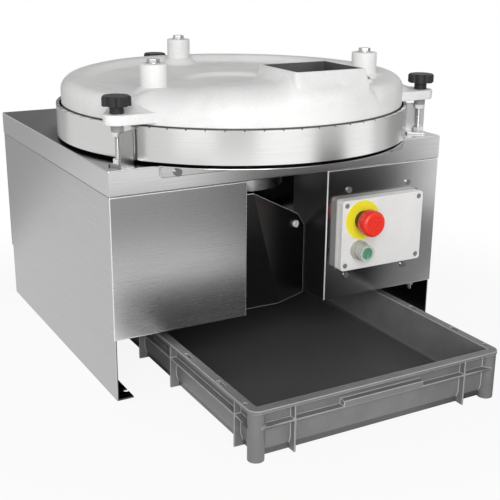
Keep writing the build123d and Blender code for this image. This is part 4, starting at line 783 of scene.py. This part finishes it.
def white_coat(name, colour, shade):
    """Textured white coating: orange-peel skin, specks and faint greying, bare metal on the seats, painted
    shade in the inlet and on the rim.
    """
    finish, tree, shader, place = new_finish(name, 0.5)
    cloud = noise(tree, place, 11.0, 5.0, 0.6)
    peel = noise(tree, place, 380.0, 2.0, 0.5)
    specks = noise(tree, place, 1300.0, 1.0)
    tone = sums(tree, "MULTIPLY_ADD", cloud, 0.75, sums(tree, "MULTIPLY", peel, 0.25))
    feed(tree, blend(tree, spread(tree, tone, 0.3, 0.62), shade, colour), shader.inputs["Base Color"])
    feed(tree, spread(tree, peel, 0.3, 0.7, 0.42, 0.62), shader.inputs["Roughness"])
    raise_grain(tree, shader, sums(tree, "MULTIPLY_ADD", specks, 0.35, peel), 0.0005, 0.55)
    tree, shader, place = opened(finish)
    radius = length_of(tree, *off_axis(tree, place))
    seat = sums(tree, "MULTIPLY", sums(tree, "LESS_THAN", place["Z"], (LUG_LOW - SEAM) * MM),
                sums(tree, "GREATER_THAN", radius, (LID_RADIUS + LUG_CLEAR) * MM))
    recolour(finish, seat, BARE_SEAT)
    # painted shade: the inlet's inside and the lowest band of the rim are painted near-black
    wall = INLET_WALL - SEAM
    corner = axis + Vector((INLET_LEFT + wall, INLET_FRONT + wall, 0)) * MM
    inside = within(tree, place, corner, axis + Vector((INLET_RIGHT - wall, INLET_BACK - wall, 0)) * MM)
    inside = sums(tree, "MULTIPLY", inside, sums(tree, "LESS_THAN", place["Z"], (INLET_TOP - SEAM) * MM))
    low_rim = spread(tree, place["Z"], (RIM_Z + RIM_SHADE_FULL) * MM, (RIM_Z + RIM_SHADE_ENDS) * MM, 1.0, 0.0)
    rim = sums(tree, "MULTIPLY", low_rim, sums(tree, "LESS_THAN", radius, (LID_RADIUS + 0.5) * MM))
    bare = blend(tree, spread(tree, cloud, 0.3, 0.7), SHADE_DARK, SHADE_LIGHT)
    recolour(finish, sums(tree, "MAXIMUM", inside, rim), bare)
    return finish


SHADE_DARK, SHADE_LIGHT, BARE_SEAT = grey(0.07), grey(0.12), grey(0.30)
SEAM, LUG_CLEAR, RIM_SHADE_FULL, RIM_SHADE_ENDS = 0.3, 6.0, 5.2, 5.8
lid_coat = white_coat("lid_coating", (0.90, 0.90, 0.89), (0.78, 0.78, 0.775))
fit(casting, lid_coat, "lid", "lid")

# Spiral guide: the upright strip under the lid that winds in from the ring to the drop tube.
# White machined polymer, hung from the lid by the three boss bolts.
GUIDE_EDGE = 0.0008
guide_polymer = smooth_plastic("guide_polymer", (0.86, 0.86, 0.84), 0.42)
dress("spiral_guide", "guide_strip", guide_polymer, "guide_white", "lid", GUIDE_EDGE)

# Boss bolts and plug: hex bolts with washers on the three bosses, and a small plug screw by the inlet.
# Bright zinc-plated steel, the plug left dull; each bolt clamps the guide under the lid.
WASHER_RADIUS, WASHER_TOP, HEAD_ACROSS, HEAD_TOP = 10.5, 1.5, 16.0, 6.4
SHANK_RADIUS, SHANK_LENGTH, HEAD_EDGE, SCREW_EDGE = 5.0, 69.0, 0.0006, 0.0008
bolts = []
for place in boss_places.values():
    washer = drum("washer", WASHER_RADIUS, BOSS_TOP, BOSS_TOP + WASHER_TOP, place, 40)
    head = drum("bolt_head", HEAD_ACROSS / math.sqrt(3), BOSS_TOP + WASHER_TOP, BOSS_TOP + HEAD_TOP, place, 6)
    shank = drum("bolt_shank", SHANK_RADIUS, BOSS_TOP - SHANK_LENGTH, BOSS_TOP, place, 24)
    bolts += [washer, head, shank]
hex_bolts = join("hex_bolts", bolts)
soften(hex_bolts, HEAD_EDGE, 3)
fit(hex_bolts, zinc_plate, "lid", "boss_bolts")
dress("lid_plug", "plug_screw", mill_steel, "zinc", "lid", SCREW_EDGE, 3)

# Star knobs: three knobs that clamp the lid's lugs down on the posts.
# Moulded black plastic with seven lobes, a round neck under the head and a matte, slightly rough skin.
KNOB_EDGE = 0.0006
knob_black = smooth_plastic("knob_black", (0.022, 0.022, 0.023), 0.52, 0.25, 900.0, 0.00006, 0.4)
for name in posts:
    node = f"knob_{name}"
    dress(node, f"star_{node}", knob_black, "knob_black", node, KNOB_EDGE, 2, 40, True)

# Guards: the plate under the pan's overhang with its front flange, and the bent sheet in the middle bay.
# Stainless sheet of 1.5 mm; in the bay its near-black tone is painted shade and its bright cut edges a
# painted highlight; button-head bolts hold both.


def face_mark(tree, name):
    """A face attribute's value as a socket."""
    mark = tree.nodes.new("ShaderNodeAttribute")
    mark.attribute_name = name
    return mark.outputs["Fac"]


def mark_edges(piece, width, name, smooth):
    """Breaks every sharp edge and leaves a face attribute of 1 on the narrow faces made by it."""
    for place in range(2):
        piece.data.materials.append(None)
    for face in piece.data.polygons:
        face.material_index = 0
    work(piece, "BEVEL", width=width, segments=2, limit_method="ANGLE", angle_limit=SHARP_ANGLE,
         use_clamp_overlap=False, material=1)
    marks = piece.data.attributes.new(name, "FLOAT", "FACE")
    for face, mark in zip(piece.data.polygons, marks.data):
        mark.value = float(face.material_index)
        face.material_index = 0
    even_light(piece, smooth)


CUT_EDGE, CUT_SMOOTH, BAY_LOW, BAY_HIGH = 0.0008, 8, 0.27, 0.28
steel_across = brushed_steel("stainless_brushed_across", STAINLESS, BRUSHED_X)
# painted shade and highlight: the bay guard's steel is painted near-black, its cut edges bright
guard_shade_steel = brushed_steel("guard_steel", grey(0.07), BRUSHED_X, (0.26, 0.38))
painted_highlight(guard_shade_steel, face_mark(guard_shade_steel.node_tree, "cut"), grey(0.70), 0.2)
for node, finish in (("pan_guard", steel_across), ("drop_guard", guard_shade_steel)):
    sheet = copy_of(node, f"{node}_sheet")
    mark_edges(sheet, CUT_EDGE, "cut", CUT_SMOOTH)
    fit(sheet, finish, "housing", node)
# painted highlight: the bolts low in the bay are painted bright and less metallic; the others keep the dark
# steel
guard_bolt_highlight = milled_metal("guard_bolt_highlight_steel", grey(0.30), 0.26, 0.2)
tree, shader, place = opened(guard_bolt_highlight)
painted_highlight(guard_bolt_highlight, spread(tree, place["Z"], BAY_LOW, BAY_HIGH, 1.0, 0.0), (0.85, 0.85, 0.84), 0.2)
paint(guard_bolt_highlight, "guard_bolts")

# Control box: a two-part plastic box let into the right front panel, with screws and a bracket behind it.
# Light grey moulded ABS with rounded corners and a parting step; the panel screws are domed and plated.
BOX_EDGE = 0.0009
box_plastic = smooth_plastic("box_plastic", (0.89, 0.885, 0.87), 0.42, 0.04, 700.0, 0.00005)
for node, name in (("enclosure_base", "box_base"), ("enclosure_cover", "box_cover")):
    dress(node, name, box_plastic, "box_grey", "housing", BOX_EDGE, 3)
paint(smooth_plastic("screw_grey", (0.26, 0.26, 0.255), 0.40, 0.06), "enclosure_screws")
paint(milled_metal("panel_screw_steel", grey(0.42), 0.36, 0.2), "control_panel_screws")
paint(zinc_plate, "enclosure_bracket")

# Stop button: a red mushroom head on a stem in a black collar, over a bare yellow disc.
# Moulded plastics; the head is pushed in and turned to let go, and the block behind holds its contacts.
paint(smooth_plastic("disc_yellow", (0.98, 0.90, 0.03), 0.45, 0.05), "estop_disc")
paint(smooth_plastic("black_plastic", (0.03, 0.03, 0.032), 0.38, 0.15),
      "estop_collar", "estop_stem", "estop_block", "start_block")
paint(smooth_plastic("button_red", (0.96, 0.04, 0.022), 0.24, 0.05, 300.0, 0.00002), "estop_head")

# Start button: a green cap under a clear ribbed boot, held by a pale bezel.
# The cap is moulded plastic; the boot is soft clear silicone with rings moulded round it.
paint(smooth_plastic("bezel_grey", (0.50, 0.51, 0.46), 0.36, 0.08), "start_bezel")
paint(smooth_plastic("button_green", (0.10, 0.56, 0.32), 0.32, 0.08), "start_cap")
clear_boot, tree, shader, place = new_finish("clear_silicone", 0.28)
cloud = noise(tree, place, 260.0, 3.0)
milky = blend(tree, spread(tree, cloud, 0.3, 0.7), (0.66, 0.70, 0.64), (0.76, 0.80, 0.74))
feed(tree, milky, shader.inputs["Base Color"])
feed(tree, spread(tree, cloud, 0.3, 0.7, 0.2, 0.34), shader.inputs["Roughness"])
raise_grain(tree, shader, cloud, 0.0001)
low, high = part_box("start_boot")
tree, shader, place = opened(clear_boot)
from_middle = length_of(tree, off_from(tree, place["X"], (low.x + high.x) / 2),
                        off_from(tree, place["Z"], (low.z + high.z) / 2))
# the boot's window is thin and clear, its wall round it thick and milky
feed(tree, spread(tree, from_middle, 0.0082, 0.0102, 0.10, 0.72), shader.inputs["Alpha"])
paint(clear_boot, "start_boot")

# Earth stud: the bonding stud under the control panel's lower lip.
# Zinc-plated steel, put through a hole in the lip and clamped by a nut above and one below.
paint(zinc_plate, "earth_stud")

# Crate: the tray that stands on the bench under the machine, pulled out to the front.
# Grey moulded polypropylene with a rim, ribs, corner posts and grips; edges are rounded and scuffed.
tray = copy_of("crate", "crate_tray", whole=False)
CRATE_EDGE, CRATE_WALL = 0.0009, 0.014
mark_edges(tray, CRATE_EDGE, "scuff", 50)
crate_grey = smooth_plastic("crate_grey", (0.20, 0.20, 0.205), 0.44, 0.12, 420.0, 0.00008)
tree, shader, place = opened(crate_grey)
recolour(crate_grey, face_mark(tree, "scuff"), grey(0.42))
# the tray's floor inside its walls is darker than the rest
low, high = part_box("crate")
bottom = spread(tree, place["Z"], low.z + 0.010, low.z + 0.013, 1.0, 0.0)
wall = Vector((CRATE_WALL, CRATE_WALL, 0))
bottom = sums(tree, "MULTIPLY", bottom, within(tree, place, low + wall, high - wall))
recolour(crate_grey, bottom, grey(0.085))
fit(tray, crate_grey, "crate", "crate")

# Floor: a plain pale bench under the machine that keeps its soft shadow.
# A flat matte sheet; polished metal sees soft-edged white and black boards on it, as in a photo studio.


def boards_tone(tree, turn, reach, tone, boards):
    """The surround's tone with its boards: each from an angle to an angle, from a near to a far distance."""
    for start, end, near_by, far_off, bright in boards:
        share = sums(tree, "MULTIPLY", spread(tree, turn, start - SOFT_TURN, start + SOFT_TURN),
                     spread(tree, turn, end - SOFT_TURN, end + SOFT_TURN, 1.0, 0.0))
        for side, opens in ((near_by, 0.0), (far_off, 1.0)):
            if reach and side:
                ends = spread(tree, reach, side - SOFT_REACH, side + SOFT_REACH, opens, 1.0 - opens)
                share = sums(tree, "MULTIPLY", share, ends)
        tone = run_to(tree, share, tone, bright)
    return tone


def run_to(tree, share, tone, other):
    """One tone run into another by a share."""
    return sums(tree, "MULTIPLY_ADD", share, sums(tree, "SUBTRACT", other, tone), tone)


def turn_about(tree, across, along):
    """The angle in degrees from one axis towards another."""
    return sums(tree, "MULTIPLY", sums(tree, "ARCTAN2", across, along), 180 / math.pi)


def white_light(tree, kind, strength):
    """A white light of a strength that is a socket or a number."""
    light = tree.nodes.new(kind)
    feed(tree, grey(1.0), light.inputs["Color"])
    feed(tree, strength, light.inputs["Strength"])
    return light.outputs[0]


def choose(tree, share, one, two):
    """One shader run into another."""
    mix = tree.nodes.new("ShaderNodeMixShader")
    feed(tree, share, mix.inputs["Fac"])
    feed(tree, one, mix.inputs[1])
    feed(tree, two, mix.inputs[2])
    return mix.outputs[0]


def kinds_of_ray(tree):
    """Whether a ray comes straight from the camera, and whether it was mirrored or let through."""
    path = tree.nodes.new("ShaderNodeLightPath")
    shiny = sums(tree, "MAXIMUM", path.outputs["Is Glossy Ray"], path.outputs["Is Transmission Ray"])
    return path.outputs["Is Camera Ray"], shiny


FLOOR_SIZE, FLOOR_TONE, BENCH_TONE, SOFT_TURN, SOFT_REACH = 40.0, grey(0.80), 0.55, 3.0, 0.10
MIDDLE, DARK_ACROSS, DARK_ALONG, DARK_SHARE = Vector((0, 0.12)), (0.20, 0.27), (0.19, 0.25), 0.97
# each board's angles in degrees from straight in front, its two distances in metres (0: no end), its tone
BENCH_BOARDS = (
    (-205, -153, 0, 0, 0.38),
    (-152, -62, 0, 0, 0.66),
    (84, 205, 0, 0, 0.30),
    (-62, -38, 1.80, 0, 1.0),
    (-62, 15, 0, 0.84, 0.95),
    (-62, 23, 0.90, 1.14, 0.10),
    (-40, 20, 1.22, 1.80, 1.0),
    (-14, 22, 1.75, 0, 1.0),
    (43, 68, 1.18, 0, 0.95),
    (40, 54, 0, 1.06, 0.22),
    (22, 43, 0, 1.85, 0.0),
)
floor = basic_shape("floor", bpy.ops.mesh.primitive_plane_add, size=FLOOR_SIZE)
floor_finish = bpy.data.materials.new("floor_pale")
floor_finish.use_nodes = True
floor_finish.node_tree.nodes.clear()
tree, shader, place = opened(floor_finish)
reach = length_of(tree, place["X"], place["Y"])
turn = turn_about(tree, place["X"], sums(tree, "MULTIPLY", place["Y"], -1.0))
mirrored = boards_tone(tree, turn, reach, BENCH_TONE, BENCH_BOARDS)
# under the machine the bench lies in the dark
across = spread(tree, off_from(tree, place["X"], MIDDLE.x), *DARK_ACROSS, 1.0, 0.0)
along = spread(tree, off_from(tree, place["Y"], MIDDLE.y), *DARK_ALONG, 1.0, 0.0)
under = sums(tree, "MULTIPLY", across, along)
mirrored = sums(tree, "MULTIPLY", mirrored, sums(tree, "MULTIPLY_ADD", under, -DARK_SHARE, 1.0))
matte = tree.nodes.new("ShaderNodeBsdfDiffuse")
feed(tree, FLOOR_TONE, matte.inputs["Color"])
straight, shiny = kinds_of_ray(tree)
bench = choose(tree, shiny, matte.outputs[0], white_light(tree, "ShaderNodeEmission", mirrored))
seen = sums(tree, "MULTIPLY", straight, spread(tree, reach, 0.45, 0.85, 0.90, 1.0))
bench = choose(tree, seen, bench, white_light(tree, "ShaderNodeEmission", 1.0))
feed(tree, bench, tree.nodes.new("ShaderNodeOutputMaterial").inputs["Surface"])
floor.data.materials.append(floor_finish)

# Surround: white to the camera, a studio of bright and dark sides to the metal, soft grey to the rest.
# A world background without a picture; its boards stand behind and to the right, and it is white overhead.
SKY_TONE, OVERHEAD, SOFT_GREY = 0.52, 1.0, 0.33
SKY_BOARDS = ((4, 20, 0, 0, 0.17), (34, 95, 0, 0, 0.75))
world = bpy.data.worlds.new("studio")
bpy.context.scene.world = world
world.use_nodes = True
tree = world.node_tree
tree.nodes.clear()
split = tree.nodes.new("ShaderNodeSeparateXYZ")
feed(tree, tree.nodes.new("ShaderNodeTexCoord").outputs["Generated"], split.inputs[0])
place = split.outputs
sky_tone = boards_tone(tree, turn_about(tree, place["X"], place["Y"]), None, SKY_TONE, SKY_BOARDS)
sky_tone = run_to(tree, spread(tree, place["Z"], 0.45, 0.75), sky_tone, OVERHEAD)
straight, shiny = kinds_of_ray(tree)
studio = choose(tree, shiny, white_light(tree, "ShaderNodeBackground", SOFT_GREY),
                white_light(tree, "ShaderNodeBackground", sky_tone))
studio = choose(tree, straight, studio, white_light(tree, "ShaderNodeBackground", 1.0))
feed(tree, studio, tree.nodes.new("ShaderNodeOutputWorld").inputs["Surface"])

# Lamps: a large key low in front and a little to the left, and a weaker one far to the left.
# Two square area lamps, both aimed at the middle of the machine.
LAMP_SIZE, LAMP_AIM = 2.0, Vector((0, 0, 0.25))
for name, place, power in (("key", (-1.10, -2.56, 1.37), 60.0), ("side", (-2.60, -0.70, 1.20), 7.0)):
    lamp = bpy.data.lights.new(name, "AREA")
    lamp.energy = power
    lamp.size = LAMP_SIZE
    holder = bpy.data.objects.new(name, lamp)
    bpy.context.scene.collection.objects.link(holder)
    aim = LAMP_AIM - Vector(place)
    holder.rotation_euler = aim.to_track_quat("-Z", "Y").to_euler()
    holder.location = place

# Camera: at the photo's place, a little left of the front and above the lid.
# Its place, angles and focal length were fitted to the photo's edges.
YAW, PITCH, ROLL = math.radians(29.27), math.radians(17.82), math.radians(0.53)
EYE, FOCAL_PIXELS, PICTURE_PIXELS, SENSOR = (-0.699, -1.267, 0.610), 949.6, 500, 36.0
ahead = Vector((math.sin(YAW) * math.cos(PITCH), math.cos(YAW) * math.cos(PITCH), -math.sin(PITCH)))
right = Vector((math.cos(YAW), -math.sin(YAW), 0))
upward = right.cross(ahead)
tilted = right * math.cos(ROLL) + upward * math.sin(ROLL)
raised = upward * math.cos(ROLL) - right * math.sin(ROLL)
lens = bpy.data.cameras.new("camera")
lens.sensor_width = SENSOR
lens.lens = FOCAL_PIXELS / PICTURE_PIXELS * SENSOR
eye = bpy.data.objects.new("camera", lens)
bpy.context.scene.collection.objects.link(eye)
facing = Matrix((tilted, raised, -ahead)).transposed().to_4x4()
eye.matrix_world = Matrix.Translation(EYE) @ facing
bpy.context.scene.camera = eye
bpy.context.scene.view_settings.view_transform = "Standard"
